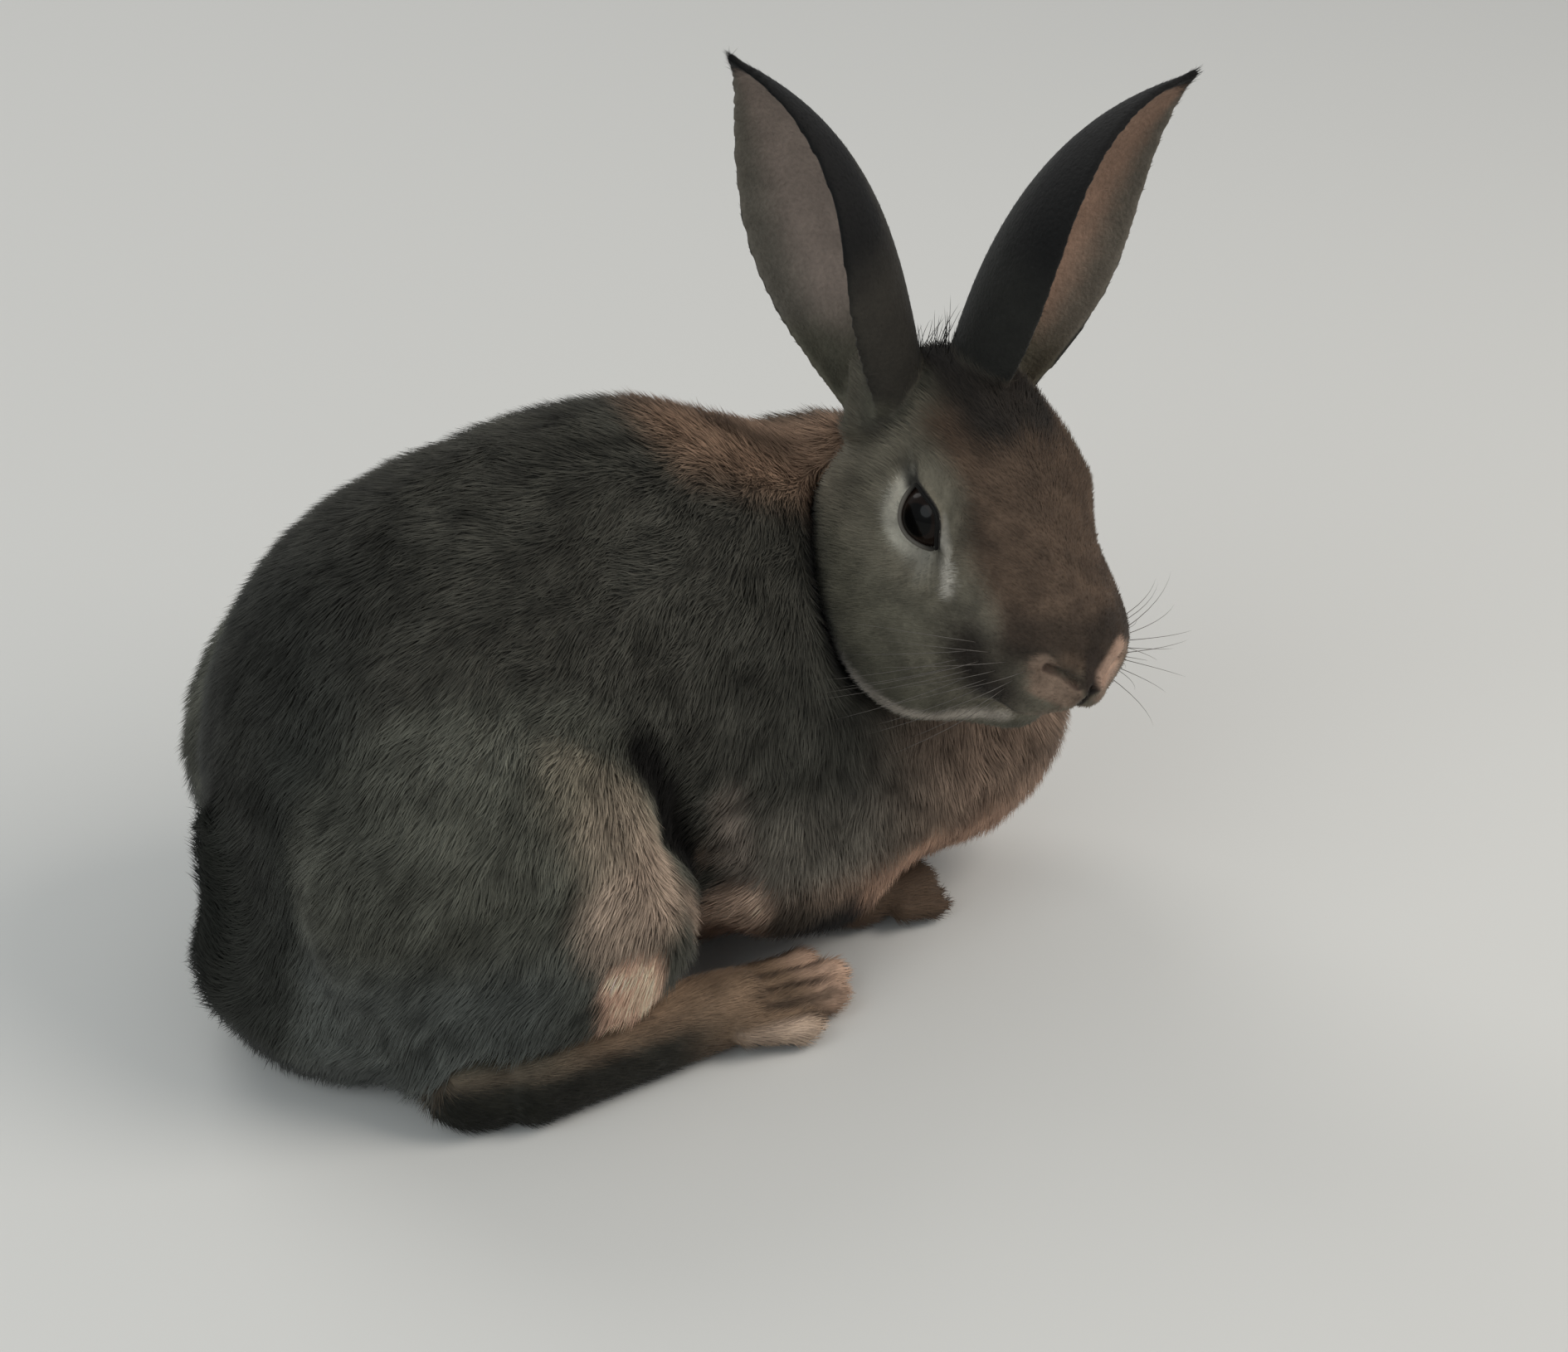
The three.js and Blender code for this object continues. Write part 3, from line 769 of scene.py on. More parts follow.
HEAD = region("head", "nose", passes=6)
EAR_RIGHT = region("ear_right", passes=2)
EAR_LEFT = region("ear_left", passes=2)
EAR_SHARES = {"right": EAR_RIGHT, "left": EAR_LEFT}
EARS_BOTH = EAR_RIGHT + EAR_LEFT
HIND_FEET = region("hind_foot_right", "hind_foot_left", passes=4)
FORE_FEET = region("fore_foot_right", "fore_foot_left", passes=4)
FEET = HIND_FEET + FORE_FEET
HAUNCHES = region("haunch_right", "haunch_left")
FORE_LEGS = region("fore_leg_right", "fore_leg_left")
NECK = region("neck")
TAIL = region("tail")
TRUNK = region("trunk")


# ---- the ear's own measures

def ear_measures(name):
    """For each point of the skin, how far it lies along an ear from root to tip (0 to 1), how
    far across its leaf (-1 to 1), and whether it is inside the ear (1) or on its back (0)."""
    form, _ = ear_form(SIDES[name], **EARS[name])
    tree = KDTree(len(form))
    for index, point in enumerate(form.tolist()):
        tree.insert(point, index)
    tree.balance()
    owned = np.nonzero(np.linalg.norm(SKIN_VERTS - form.mean(axis=0), axis=1) < EAR_LENGTH)[0]
    found = np.array([tree.find(p)[1] for p in SKIN_VERTS[owned].tolist()])
    station, place = found // (2 * EAR_ARC), found % (2 * EAR_ARC)
    inside = place >= EAR_ARC
    across = np.where(inside, 2 * EAR_ARC - 1 - place, place) / (EAR_ARC - 1) * 2 - 1
    facts = np.zeros((3, len(SKIN_VERTS)))
    facts[:, owned] = station / (EAR_STATIONS - 1), across, inside
    return facts


def ear_way(name):
    """The way an ear points, from root to tip, in the body's axes."""
    return ear_aims(SIDES[name], **EARS[name])[0] @ HEAD_AXES


EAR_FACTS = {name: ear_measures(name) for name in EARS}


# ---- lie and length of the coat

BODY_X, BODY_Y, BODY_Z = (SKIN_VERTS - SHIFT).T


def by_length(low, high):
    """A soft step from low to high along the body, both as shares of its length."""
    return ramp(BODY_X, low * L, high * L)


def by_height(low, high):
    """A soft step from low to high above the floor, both as shares of the back's height."""
    return ramp(BODY_Z, low * T, high * T)


def by_breadth(low, high):
    """A soft step away from the midline, or towards it, as shares of the haunches' width."""
    return ramp(np.abs(BODY_Y), low * W, high * W)


def along_skin(ways):
    """The ways with what stands off the skin taken out."""
    return ways - SKIN_NORMALS * np.einsum("ij,ij->i", ways, SKIN_NORMALS)[:, None]


def lie_of_coat():
    """The way the hair points at each place on the skin, along its surface."""
    none = 0 * BODY_X

    def way(ahead, up):
        return np.stack([ahead + none, none, up + none], axis=1)

    down_rump = by_length(-0.12, -0.5)
    on_breast = (by_length(0.2, 0.36) * (1 - HEAD) * (1 - FEET))[:, None]
    local = in_head(SKIN_VERTS)
    back_of_face = way(-1.0, -0.25 - 0.5 * ramp(-local[:, 2], 0.0, 0.4 * H))
    back_of_face[:, 1] = 0.2 * np.sign(local[:, 1])
    total = HEAD[:, None] * (back_of_face @ HEAD_AXES)
    for side in SIDES.values():
        away = local - eye_place(side)
        near = ramp(np.linalg.norm(away, axis=1), EYE_RADIUS + 8, EYE_RADIUS + 2)
        total = total + (3.0 * near * HEAD)[:, None] * unit(away) @ HEAD_AXES
    for share, hair in (
        (TRUNK, way(-1.0 + 0.5 * down_rump, -0.25 - 1.6 * down_rump)),
        (HAUNCHES, way(-1.0, -0.75 - 0.5 * down_rump)),
        (FORE_LEGS, way(-0.45, -1.0)),
        (NECK, way(-1.0, -0.35)),
        (TAIL, way(-0.3, 1.0)),
        (FEET, way(1.0, -0.12)),
    ):
        total = total + share[:, None] * hair
    total = total * (1 - on_breast) + np.array([-0.2, 0.0, -1.0]) * on_breast
    for name, share in EAR_SHARES.items():
        total = total + 1.4 * share[:, None] * ear_way(name)
    for _ in range(3):
        total = spread(unit(along_skin(total)), SKIN_EDGES, 5)
    return unit(along_skin(total))


def length_of_coat():
    """The hair's length at each place, in mm."""
    local = in_head(SKIN_VERTS)
    face = 2.6 + 2.6 * ramp(-local[:, 0], -0.2 * H, 0.35 * H)
    face = face - 0.8 * ramp(local[:, 0], 0.2 * H, 0.45 * H)
    for side in SIDES.values():
        distance = np.linalg.norm(local - eye_place(side), axis=1)
        face = face * (1.0 - 0.6 * ramp(distance, EYE_RADIUS + 8, EYE_RADIUS + 2))
    lengths = (
        7.4 * (TRUNK + NECK) + 7.2 * HAUNCHES + 6.4 * FORE_LEGS + 9.0 * TAIL + face * HEAD
        + 4.3 * FEET + 1.7 * EARS_BOTH
    )
    for name in EARS:
        lengths = lengths + 1.4 * EARS_BOTH * ramp(EAR_FACTS[name][0], 0.88, 0.98)
    share = TRUNK + NECK + HAUNCHES + FORE_LEGS + TAIL + HEAD + FEET + EARS_BOTH
    return spread(lengths / np.maximum(share, 1e-3), SKIN_EDGES, 5)


COAT_LIE = lie_of_coat()
COAT_LENGTH = length_of_coat()


# ---- markings, with painted light and shade

COAT_GAIN = 2.2  # the coat shades itself, so single hairs are lighter than it looks


def paint(red, green, blue):
    """A coat colour from screen values 0-255, as the linear albedo of single hairs."""
    screen = np.array([red, green, blue]) / 255.0
    linear = np.where(screen <= 0.04045, screen / 12.92, ((screen + 0.055) / 1.055) ** 2.4)
    return linear * COAT_GAIN


def near_body_path(path, side, core, edge):
    """1 within core of a path laid out on the body's right, and 0 beyond edge."""
    return ramp(path_distance(SKIN_VERTS - SHIFT, path, side), edge, core)


NAPE = [(22, -4, 150), (42, -2, 141), (62, -6, 140)]


def body_marks():
    """The tones of the body and the share of each at every place on the skin, in order."""
    up = SKIN_NORMALS[:, 2]
    body = TRUNK + HAUNCHES + FORE_LEGS + NECK
    low_belly = ramp(up, -0.1, -0.6) * by_height(0.42, 0.25) * by_length(-0.08, 0.02)
    marks = [
        ((45, 44, 39), body * ramp(up, 0.1, 0.75)),
        ((38, 41, 38), body * by_length(-0.3, -0.46)),
        ((60, 60, 54), HAUNCHES * by_height(0.75, 0.5)),
        ((62, 64, 61), HAUNCHES * by_height(0.42, 0.28) * by_length(-0.14, -0.26)),
        ((50, 49, 44), FORE_LEGS * by_height(0.4, 0.65)),
        ((78, 74, 67), FORE_LEGS * by_height(0.46, 0.3)),
        # The chest's paler tone: its own colour, with painted warm light on it
        ((104, 88, 76), body * by_length(0.16, 0.34) * by_height(0.62, 0.4)),
        ((118, 94, 78), FORE_LEGS * by_height(0.28, 0.16)),
        ((132, 106, 90), body * low_belly),
        ((112, 91, 75), (NECK + TRUNK) * near_body_path(NAPE, -1, 10, 26)),
        ((38, 38, 35), (TRUNK + NECK) * by_breadth(0.34, 0.06) * by_length(-0.18, -0.42)),
        ((24, 25, 22), TAIL * ramp(SKIN_NORMALS[:, 0], 0.2, -0.3)),
        ((170, 162, 150), TAIL * ramp(SKIN_NORMALS[:, 0], -0.1, 0.5)),
    ]
    for side in SIDES.values():
        marks += haunch_marks(side)
    return marks


# Marks about a haunch, some of them painted light and shade: a tone, where it may lie, a path on
# the body's right, and how far from the path it is full and reaches
HAUNCH_MARKS_AND_LIGHT = [
    # The thigh's paler front, in three rows: its own fur, with painted warm light on it
    ((98, 92, 80), "thigh", [(-34, -62, 96), (-26, -66, 70)], 6, 26),
    ((116, 105, 92), "thigh", [(-32, -64, 80), (-24, -67, 66)], 4, 19),
    ((136, 120, 106), "thigh", [(-22, -66, 66), (-36, -70, 60)], 5, 18),
    # Painted shade: a near black line in the crease ahead of the haunch
    ((14, 13, 12), "flank", [(-18, -50, 92), (-10, -47, 70), (-5, -46, 54), (-4, -45, 44)], 4, 9),
    ((88, 81, 74), "flank", [(7, -46, 68), (9, -46, 52), (12, -48, 38)], 1, 8),
    ((50, 44, 38), "flank", [(20, -53, 30), (38, -49, 26)], 5, 12),
    ((150, 128, 112), "flank", [(12, -46, 34), (6, -43, 27)], 5, 10),
    # The knee's front and the cream behind the foot: their own paler fur, with painted warm light
    # on it
    ((112, 98, 86), "thigh", [(-12, -62, 60), (-8, -56, 44)], 4, 10),
    ((196, 160, 138), "hock", [(-35, -73, 42), (-31, -66, 24), (-24, -60, 20)], 6, 11),
]


def haunch_marks(side):
    """The haunch's light front and the cream behind the foot, each its own paler fur with painted
    warm light on it, a painted highlight over the haunch, and painted shade in the dark fold ahead
    of it.
    """
    near, over = haunch_facts(SKIN_VERTS, side)
    body = np.clip(TRUNK + HAUNCHES + FORE_LEGS, 0, 1)
    shares = {
        "thigh": ramp(over, -1.0, 2.5),
        "flank": body * ramp(over, 1.5, -1.5),
        "hock": np.clip(HAUNCHES + TRUNK + HIND_FEET, 0, 1),
    }
    # Painted shade, darkening the fold between the flank and the haunch
    fold = 0.6 * shares["flank"] * near * by_height(0.74, 0.6)
    # A painted highlight over the haunch, soft towards its upper edge
    painted_haunch_highlight = body * ramp(over + 6.0 * by_height(0.5, 0.68), -3.0, 4.0)
    painted_haunch_highlight = painted_haunch_highlight * ramp(over, 26.0, 8.0) * by_length(-0.46, -0.3)
    marks = [((34, 34, 31), fold), ((66, 66, 59), painted_haunch_highlight * by_height(0.3, 0.45))]
    for tone, where, path, core, edge in HAUNCH_MARKS_AND_LIGHT:
        marks.append((tone, shares[where] * near_body_path(path, side, core, edge)))
    return marks


OUTER_TOE = [(-8, -74, 8), (14, -75, 6)]
# Painted shade: the near black under the chest, behind the fore leg
PAINTED_UNDER_CHEST_SHADE = [(30, -47, 20), (44, -44, 14)]


def foot_marks():
    """Tan over the feet, dark along the heel's side, pale at the toes, painted shade between the
    toes, and painted shade under the chest.
    """
    up = SKIN_NORMALS[:, 2]
    gap = (np.abs(BODY_Y) - 0.39 * W + 2 * HIND_TOE_GAP) % HIND_TOE_GAP
    gap = np.minimum(gap, HIND_TOE_GAP - gap)
    # Painted shade in the gaps between the hind toes
    shade_between_toes = by_length(-0.01, 0.04) * by_length(0.13, 0.09) * ramp(gap, 1.8, 0.4)
    marks = [
        ((94, 78, 63), FEET),
        ((30, 29, 25), HIND_FEET * by_length(0.02, -0.1) * ramp(up, 0.9, 0.2)),
        ((22, 22, 18), HIND_FEET * by_length(-0.18, -0.27) * ramp(up, 0.6, 0.0)),
        ((62, 60, 52), HIND_FEET * by_length(-0.16, -0.26) * ramp(up, 0.2, 0.9)),
        ((146, 122, 105), HIND_FEET * by_length(0.06, 0.12)),
        # painted shade between the toes
        ((44, 35, 28), 0.8 * HIND_FEET * shade_between_toes),
        ((62, 50, 40), FORE_FEET),
    ]
    fore = np.clip(FORE_LEGS + FORE_FEET + TRUNK, 0, 1)
    for side in SIDES.values():
        marks += [
            ((140, 123, 108), HIND_FEET * near_body_path(OUTER_TOE, side, 4, 8)),
            # painted shade under the chest
            ((14, 12, 10), fore * near_body_path(PAINTED_UNDER_CHEST_SHADE, side, 7, 14)),
        ]
    return marks


# Marks of the face: a tone, a path on the animal's right, and how far it is full and reaches
FACE_MARKS = [
    ((26, 23, 20), [(-36, -3, 22), (-20, -6, 23), (-8, -5, 22)], 5.0, 13.0),
    ((32, 30, 26), [(-30, -31, 27), (-28, -25, 10)], 3.0, 9.0),
    ((54, 52, 45), [(-24, -20, 12), (-27, -14, 20)], 1.5, 5.0),
    ((31, 27, 23), [(31, -21, -18), (38, -18, -24)], 3.0, 14.0),
    ((40, 35, 29), [(38, -17, -12), (44, -12, -7)], 1.5, 7.0),
    ((36, 29, 23), [(38, -16, -7), (44, -8, -4), (47, 0, -4)], 2.0, 8.0),
    ((86, 74, 63), [(47, -4, -26), (40, -8, -31)], 2.0, 7.0),
    ((90, 76, 65), [(45.6, -12.4, -12.4), (46.6, -10.8, -17.0), (50.4, -5.0, -18.0)], 2.8, 4.8),
    ((34, 27, 22), [(50, 0, -8), (53, 0, -14)], 2.2, 4.4),
    ((36, 25, 22), NOSTRIL, 1.1, 2.0),
    ((118, 112, 104), [(-24, -26, -40), (-8, -29, -49), (14, -27, -50), (26, -19, -46),
                       (38, -8, -39)], 2.0, 4.6),
    ((120, 116, 108), [(3.6, -21.5, 1.9), (10.5, -22.3, -5.0), (17, -23.6, -9.8)], 0.6, 3.4),
]
# The pale patch beside the nose on the animal's left, brighter than the right one: its own pale
# fur with painted warm light on it
FAR_LIP_PAINTED_LIGHT = [(47.0, 8.0, -9.0), (50.8, 4.0, -13.0), (48.0, 9.0, -15.0)]


def face_marks():
    local = in_head(SKIN_VERTS)
    x, y, z = local.T
    brown = ramp(np.abs(y), 23.0, 17.0) * ramp(z + 0.25 * x, -5.0, 4.0)
    marks = [
        ((76, 72, 62), HEAD),
        ((58, 47, 38), HEAD * brown * ramp(x, -24.0, -12.0)),
        ((72, 69, 59), HEAD * ramp(z, -12.0, -24.0) * ramp(x, 30.0, 10.0)),
        ((64, 62, 53), HEAD * ramp(z, -28.0, -44.0)),
    ]
    for tone, path, core, edge in FACE_MARKS:
        marks.append((tone, HEAD * ramp(either_side(local, path), edge, core)))
    marks += [
        # The far pale patch, brightened with painted warm light
        ((120, 100, 87), HEAD * ramp(path_distance(local, FAR_LIP_PAINTED_LIGHT, -1), 4.6, 2.0)),
        ((22, 18, 16), HEAD * ramp(path_distance(local, PHILTRUM, 1), 1.7, 0.8)),
    ]
    for side in SIDES.values():
        distance, aim, reach = eye_reach(local, side)
        height = aim @ eye_axes(side)[2]
        ring = ramp(distance, EYE_RADIUS + 5.5, EYE_RADIUS + 3.0) * ramp(reach, 1.8, 1.35)
        at_lid = ramp(distance, EYE_RADIUS + 2.2, EYE_RADIUS + 1.5)
        marks += [
            ((110, 107, 98), HEAD * ring * ramp(height, 0.3, -0.2)),
            # painted shade at the eye's upper rear corner
            ((36, 34, 30), HEAD * ramp(path_distance(local, EYE_CORNER_SHADE, side), 3.2, 1.0)),
            ((18, 16, 15), HEAD * at_lid * ramp(height, -0.1, 0.3) * ramp(reach, 1.2, 1.12)),
        ]
    return marks


BLACK = (4, 4, 4)


def ear_marks():
    """Pale inside, dark outside, and black along the margin beside the other ear and at the
    tip. The two ears differ in tone only by painted light and shade."""
    # The two ears' tones differ only as painted light and shade on one colouring
    inside_tones_as_lit = {"right": (97, 87, 80), "left": (108, 88, 75)}
    back_tones_as_lit = {"right": (32, 30, 26), "left": (22, 22, 20)}
    marks = []
    for name, share in EAR_SHARES.items():
        along, turn, inside = EAR_FACTS[name]
        medial = turn * SIDES[name]
        folded = ramp(medial, 0.66, 0.84)
        strip = ramp(medial + 0.45 * ramp(along, 0.6, 0.95), 0.42, 0.62)
        marks += [
            (back_tones_as_lit[name], share),
            (inside_tones_as_lit[name], share * inside * (1.0 - folded)),
            ((74, 70, 63), share * inside * ramp(-medial, 0.55, 0.9)),
            ((62, 59, 50), share * inside * (1.0 - folded) * ramp(along, 0.34, 0.14)),
            (BLACK, share * strip * ramp(along, 0.36, 0.56)),
            (BLACK, share * ramp(along, 0.93, 0.97)),
        ]
    local = in_head(SKIN_VERTS)
    low = ramp(local[:, 2], 17.0, 10.0) * ramp(np.abs(local[:, 1]), 19.0, 25.0)
    # The bases of the ears, in tones that differ between the ears as painted light and shade
    return marks + [((62, 60, 51), EAR_RIGHT * low), ((44, 40, 35), EAR_LEFT * low)]


def markings():
    """The colour of the coat at each place on the skin, with painted light and shade among its
    marks.
    """
    colour = np.tile(paint(54, 53, 48), (len(SKIN_VERTS), 1))
    for tone, share in body_marks() + foot_marks() + face_marks() + ear_marks():
        share = np.clip(share, 0, 1)[:, None]
        colour = colour * (1 - share) + paint(*tone) * share
    return colour


def mottling(points):
    """Light and dark ticking of the coat, about 1, in waves a few millimetres across."""
    warp = points + 3.0 * noise_vector(points, 9.0)
    coarse = noise(warp, 6.5, NOISE_A)
    fine = noise(warp, 3.0, NOISE_B)
    broad = noise(points, 26.0, NOISE_C)
    return 1.0 + 0.4 * coarse + 0.5 * fine + 0.1 * broad


MARKINGS = markings()
BARE = bare_face(in_head(SKIN_VERTS)) * np.clip(HEAD, 0, 1)
MOTTLED = np.clip(TRUNK + HAUNCHES + FORE_LEGS + NECK, 0, 1) + 0.6 * HEAD
MOTTLED = MOTTLED + 0.25 * EARS_BOTH + 0.8 * HIND_FEET


# ---- materials

def material(name, roughness, sheen=0.0):
    made = bpy.data.materials.new(name)
    made.use_nodes = True
    shader = made.node_tree.nodes["Principled BSDF"]
    shader.inputs["Roughness"].default_value = roughness
    shader.inputs["Sheen Weight"].default_value = sheen
    return made, shader


def plain(name, roughness, tone):
    """A material of one colour."""
    made, shader = material(name, roughness)
    shader.inputs["Base Color"].default_value = (*tone, 1)
    return made


def coloured(name, roughness, specular, sheen=0.0):
    """A material that takes the colours painted on its mesh."""
    made, shader = material(name, roughness, sheen)
    shader.inputs["Specular IOR Level"].default_value = specular
    colour = made.node_tree.nodes.new("ShaderNodeAttribute")
    colour.attribute_name = "coat_colour"
    made.node_tree.links.new(colour.outputs["Color"], shader.inputs["Base Color"])
    return made, shader


def hair_material(name):
    made, shader = coloured(name, 0.7, 0.16, 0.05)
    shader.inputs["Sheen Roughness"].default_value = 0.4
    return made


def skin_material():
    """The coat's colour, with a fine grain of light and dark that also stands out a little."""
    made, shader = coloured("short_coat_over_skin", 0.75, 0.2, 0.04)
    new, link = made.node_tree.nodes.new, made.node_tree.links.new
    place, grain = new("ShaderNodeTexCoord"), new("ShaderNodeTexNoise")
    grain.inputs["Scale"].default_value = 900.0
    grain.inputs["Detail"].default_value = 3.0
    link(place.outputs["Object"], grain.inputs["Vector"])
    level = new("ShaderNodeMapRange")
    level.inputs["To Min"].default_value = 0.72
    level.inputs["To Max"].default_value = 1.28
    link(grain.outputs["Fac"], level.inputs["Value"])
    shade = new("ShaderNodeMix")
    shade.data_type = "RGBA"
    shade.blend_type = "MULTIPLY"
    shade.inputs[0].default_value = 1.0
    painted = shader.inputs["Base Color"].links[0].from_socket
    link(painted, shade.inputs[6])
    link(level.outputs["Result"], shade.inputs[7])
    link(shade.outputs[2], shader.inputs["Base Color"])
    bump = new("ShaderNodeBump")
    bump.inputs["Strength"].default_value = 0.5
    bump.inputs["Distance"].default_value = 0.0006
    link(grain.outputs["Fac"], bump.inputs["Height"])
    link(bump.outputs["Normal"], shader.inputs["Normal"])
    return made


def add_colours(mesh, colours):
    layer = mesh.color_attributes.new("coat_colour", "FLOAT_COLOR", "POINT")
    rgba = np.concatenate([np.clip(colours, 0, 1), np.ones((len(colours), 1))], axis=1)
    layer.data.foreach_set("color", rgba.astype(np.float32).ravel())


def placed(name, mesh, look, slot_name, *nodes):
    thing = bpy.data.objects.new(name, mesh)
    bpy.context.scene.collection.objects.link(thing)
    mesh.materials.append(look)
    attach(thing, "root")
    if nodes:
        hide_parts(*nodes)
    return thing


def smooth_mesh(name, verts, tris, colours=None):
    """A smooth-shaded mesh from vertices in mm, with a colour for each of them if given."""
    mesh = mesh_from(name, verts * MM, tris)
    mesh.polygons.foreach_set("use_smooth", np.ones(len(tris), bool))
    if colours is not None:
        add_colours(mesh, colours)
    return mesh


# ---- skin piece

def skin_piece():
    tone = MARKINGS * (1 + (mottling(SKIN_VERTS) - 1) * MOTTLED)[:, None]
    under = np.clip(COAT_LENGTH / 9.0, 0, 1)[:, None]
    mesh = smooth_mesh("skin", SKIN_VERTS, SKIN_TRIS, tone * (0.9 - 0.3 * under))
    skin = placed("skin", mesh, skin_material(), "coat", *SKIN_NODES)
    bpy.context.view_layer.objects.active = skin
    skin.select_set(True)
    bpy.ops.object.mode_set(mode="EDIT")
    bpy.ops.mesh.select_all(action="SELECT")
    bpy.ops.uv.smart_project(angle_limit=math.radians(66), island_margin=0.002)
    bpy.ops.object.mode_set(mode="OBJECT")
    skin.data.uv_layers[0].name = "OFBake"
    return skin


SKIN = skin_piece()
SKIN_UV = np.empty(len(SKIN_TRIS) * 6, np.float32)
SKIN.data.uv_layers[0].data.foreach_get("uv", SKIN_UV)
SKIN_UV = SKIN_UV.reshape(-1, 3, 2)


# ---- the coat

def roots(density, seed):
    """Random places on the skin, with about density (per square mm, by vertex) to a place."""
    rng = np.random.default_rng(seed)
    a, b, c = SKIN_VERTS[SKIN_TRIS].transpose(1, 0, 2)
    area = np.linalg.norm(np.cross(b - a, c - a), axis=1) / 2
    expected = area * density[SKIN_TRIS].mean(axis=1)
    count = np.floor(expected + rng.random(len(area))).astype(int)
    face = np.repeat(np.arange(len(area)), count)
    u, v = rng.random((2, len(face)))
    over = u + v > 1
    u, v = np.where(over, 1 - u, u), np.where(over, 1 - v, v)
    return face, np.stack([1 - u - v, u, v], axis=1), rng


def on_skin(values, face, share):
    picked = values[SKIN_TRIS[face]]
    share = share.reshape(share.shape + (1,) * (picked.ndim - 2))
    return (picked * share).sum(axis=1)


HAIRY = np.clip(TRUNK + HAUNCHES + FORE_LEGS + NECK, 0, 1)
WAVES = 0.55 * HAIRY + 0.15 * HEAD
CLUMPS = HAIRY + 0.4 * HEAD
WAVE_SIZE, CLUMP_SIZE = 11.0, 5.0
ROOT_DEPTH = 0.35
CLEAR_OF_FLOOR = 0.25
LOWER_BEND, UPPER_BEND = math.radians(14), math.radians(12)
DARK_TIP = 0.6
SPIKE = [(0, 2, 1), (0, 1, 3), (1, 2, 3), (2, 0, 3)]
BAKE_REACH = 0.0015
# Where a tuft's three root corners and its tip lie about its root's place on the unwrap
BAKE_SPOTS = [(BAKE_REACH * math.cos(turn), BAKE_REACH * math.sin(turn))
              for turn in (0.0, 2 * math.pi / 3, 4 * math.pi / 3)] + [(0.0, 0.0)]


def tufts(face, share, rng, width, lean, tones):
    """Tufts on the given roots: vertices, triangles, normals, colours and bake places. Each is a
    closed three-sided spike, with a tone at its root and one at its tip."""
    place, normal, lie, size, waves, clumps, mottled, marking = (
        on_skin(values, face, share) for values in
        (SKIN_VERTS, SKIN_NORMALS, COAT_LIE, COAT_LENGTH, WAVES, CLUMPS, MOTTLED, MARKINGS)
    )
    normal = unit(normal)
    count = len(place)
    wave = noise(place, WAVE_SIZE, NOISE_C) * waves
    lie = unit(lie + np.cross(normal, lie) * (wave + rng.normal(0, 0.13, count))[:, None])
    lie = unit(lie - normal * np.einsum("ij,ij->i", lie, normal)[:, None])
    side = np.cross(normal, lie)
    size = size * rng.uniform(0.8, 1.12, count)
    angle = np.radians(lean + rng.normal(0, 5.0, count))
    half = (width * rng.uniform(0.8, 1.2, count) / 2)[:, None]
    clump = noise_vector(place, CLUMP_SIZE) * (0.11 * size * clumps)[:, None]

    def way(turn):
        return normal * np.cos(turn)[:, None] + lie * np.sin(turn)[:, None]

    start = place - normal * ROOT_DEPTH
    middle = start + way(angle - LOWER_BEND) * (0.55 * size)[:, None] + 0.4 * clump
    tip = middle + way(angle + UPPER_BEND) * (0.45 * size)[:, None] + 0.6 * clump
    over = way(angle - math.pi / 2)
    verts = np.stack([start - side * half, start + side * half, start + over * half * 0.8, tip],
                     axis=1)
    verts[:, :, 2] = np.maximum(verts[:, :, 2], CLEAR_OF_FLOOR)
    tris = np.arange(count)[:, None, None] * verts.shape[1] + np.array(SPIKE)

    own = np.clip(rng.normal(1.0, 0.08, count), 0.7, 1.4)
    dark_tipped = rng.random(count) < 0.2 * np.clip(mottled, 0, 1)
    at_root, at_tip = (1 + (mottling(at) - 1) * mottled for at in (place, tip))
    level = np.tile([tones[0]] * 3 + [tones[1]], (count, 1))
    level[:, 3] = np.where(dark_tipped, DARK_TIP, level[:, 3])
    shade = own[:, None] * level * np.stack([at_root] * 3 + [at_tip], axis=1)
    colours = marking[:, None, :] * shade[:, :, None]

    soft = unit(normal[:, None, :] + 0.35 * np.stack([-side, side, over, lie], axis=1))
    bake = (SKIN_UV[face] * share[:, :, None]).sum(axis=1)[:, None, :] + np.array(BAKE_SPOTS)
    return (verts.reshape(-1, 3), tris.reshape(-1, 3), soft.reshape(-1, 3),
            colours.reshape(-1, 3), bake.reshape(-1, 2))


def coat_piece(name, tuft_arrays, look, slot_name):
    verts, tris, normals, colours, bake = tuft_arrays
    mesh = smooth_mesh(name, verts, tris, colours)
    layer = mesh.uv_layers.new(name="OFBake")
    layer.data.foreach_set("uv", bake[tris.ravel()].astype(np.float32).ravel())
    mesh.normals_split_custom_set_from_vertices(normals.astype(np.float32))
    return placed(name, mesh, look, slot_name)


# Each layer of the coat: tufts to a square mm, their width in mm, their lean from upright in
# degrees, the tones at their root and tip, and the layer's slot
COAT_LAYERS = {
    "body": (2.0, 0.46, 66, (0.74, 1.08), "coat"),
    "head": (2.8, 0.32, 68, (0.8, 1.06), "coat"),
    "ears": (1.6, 0.3, 78, (0.85, 1.05), "ear_coat"),
    "feet": (1.6, 0.36, 72, (0.8, 1.06), "foot_coat"),
}
ZONE_STARTS = (-0.4, -0.29, -0.19, -0.08, 0.06, 0.2)  # where the body's pieces part, x over L


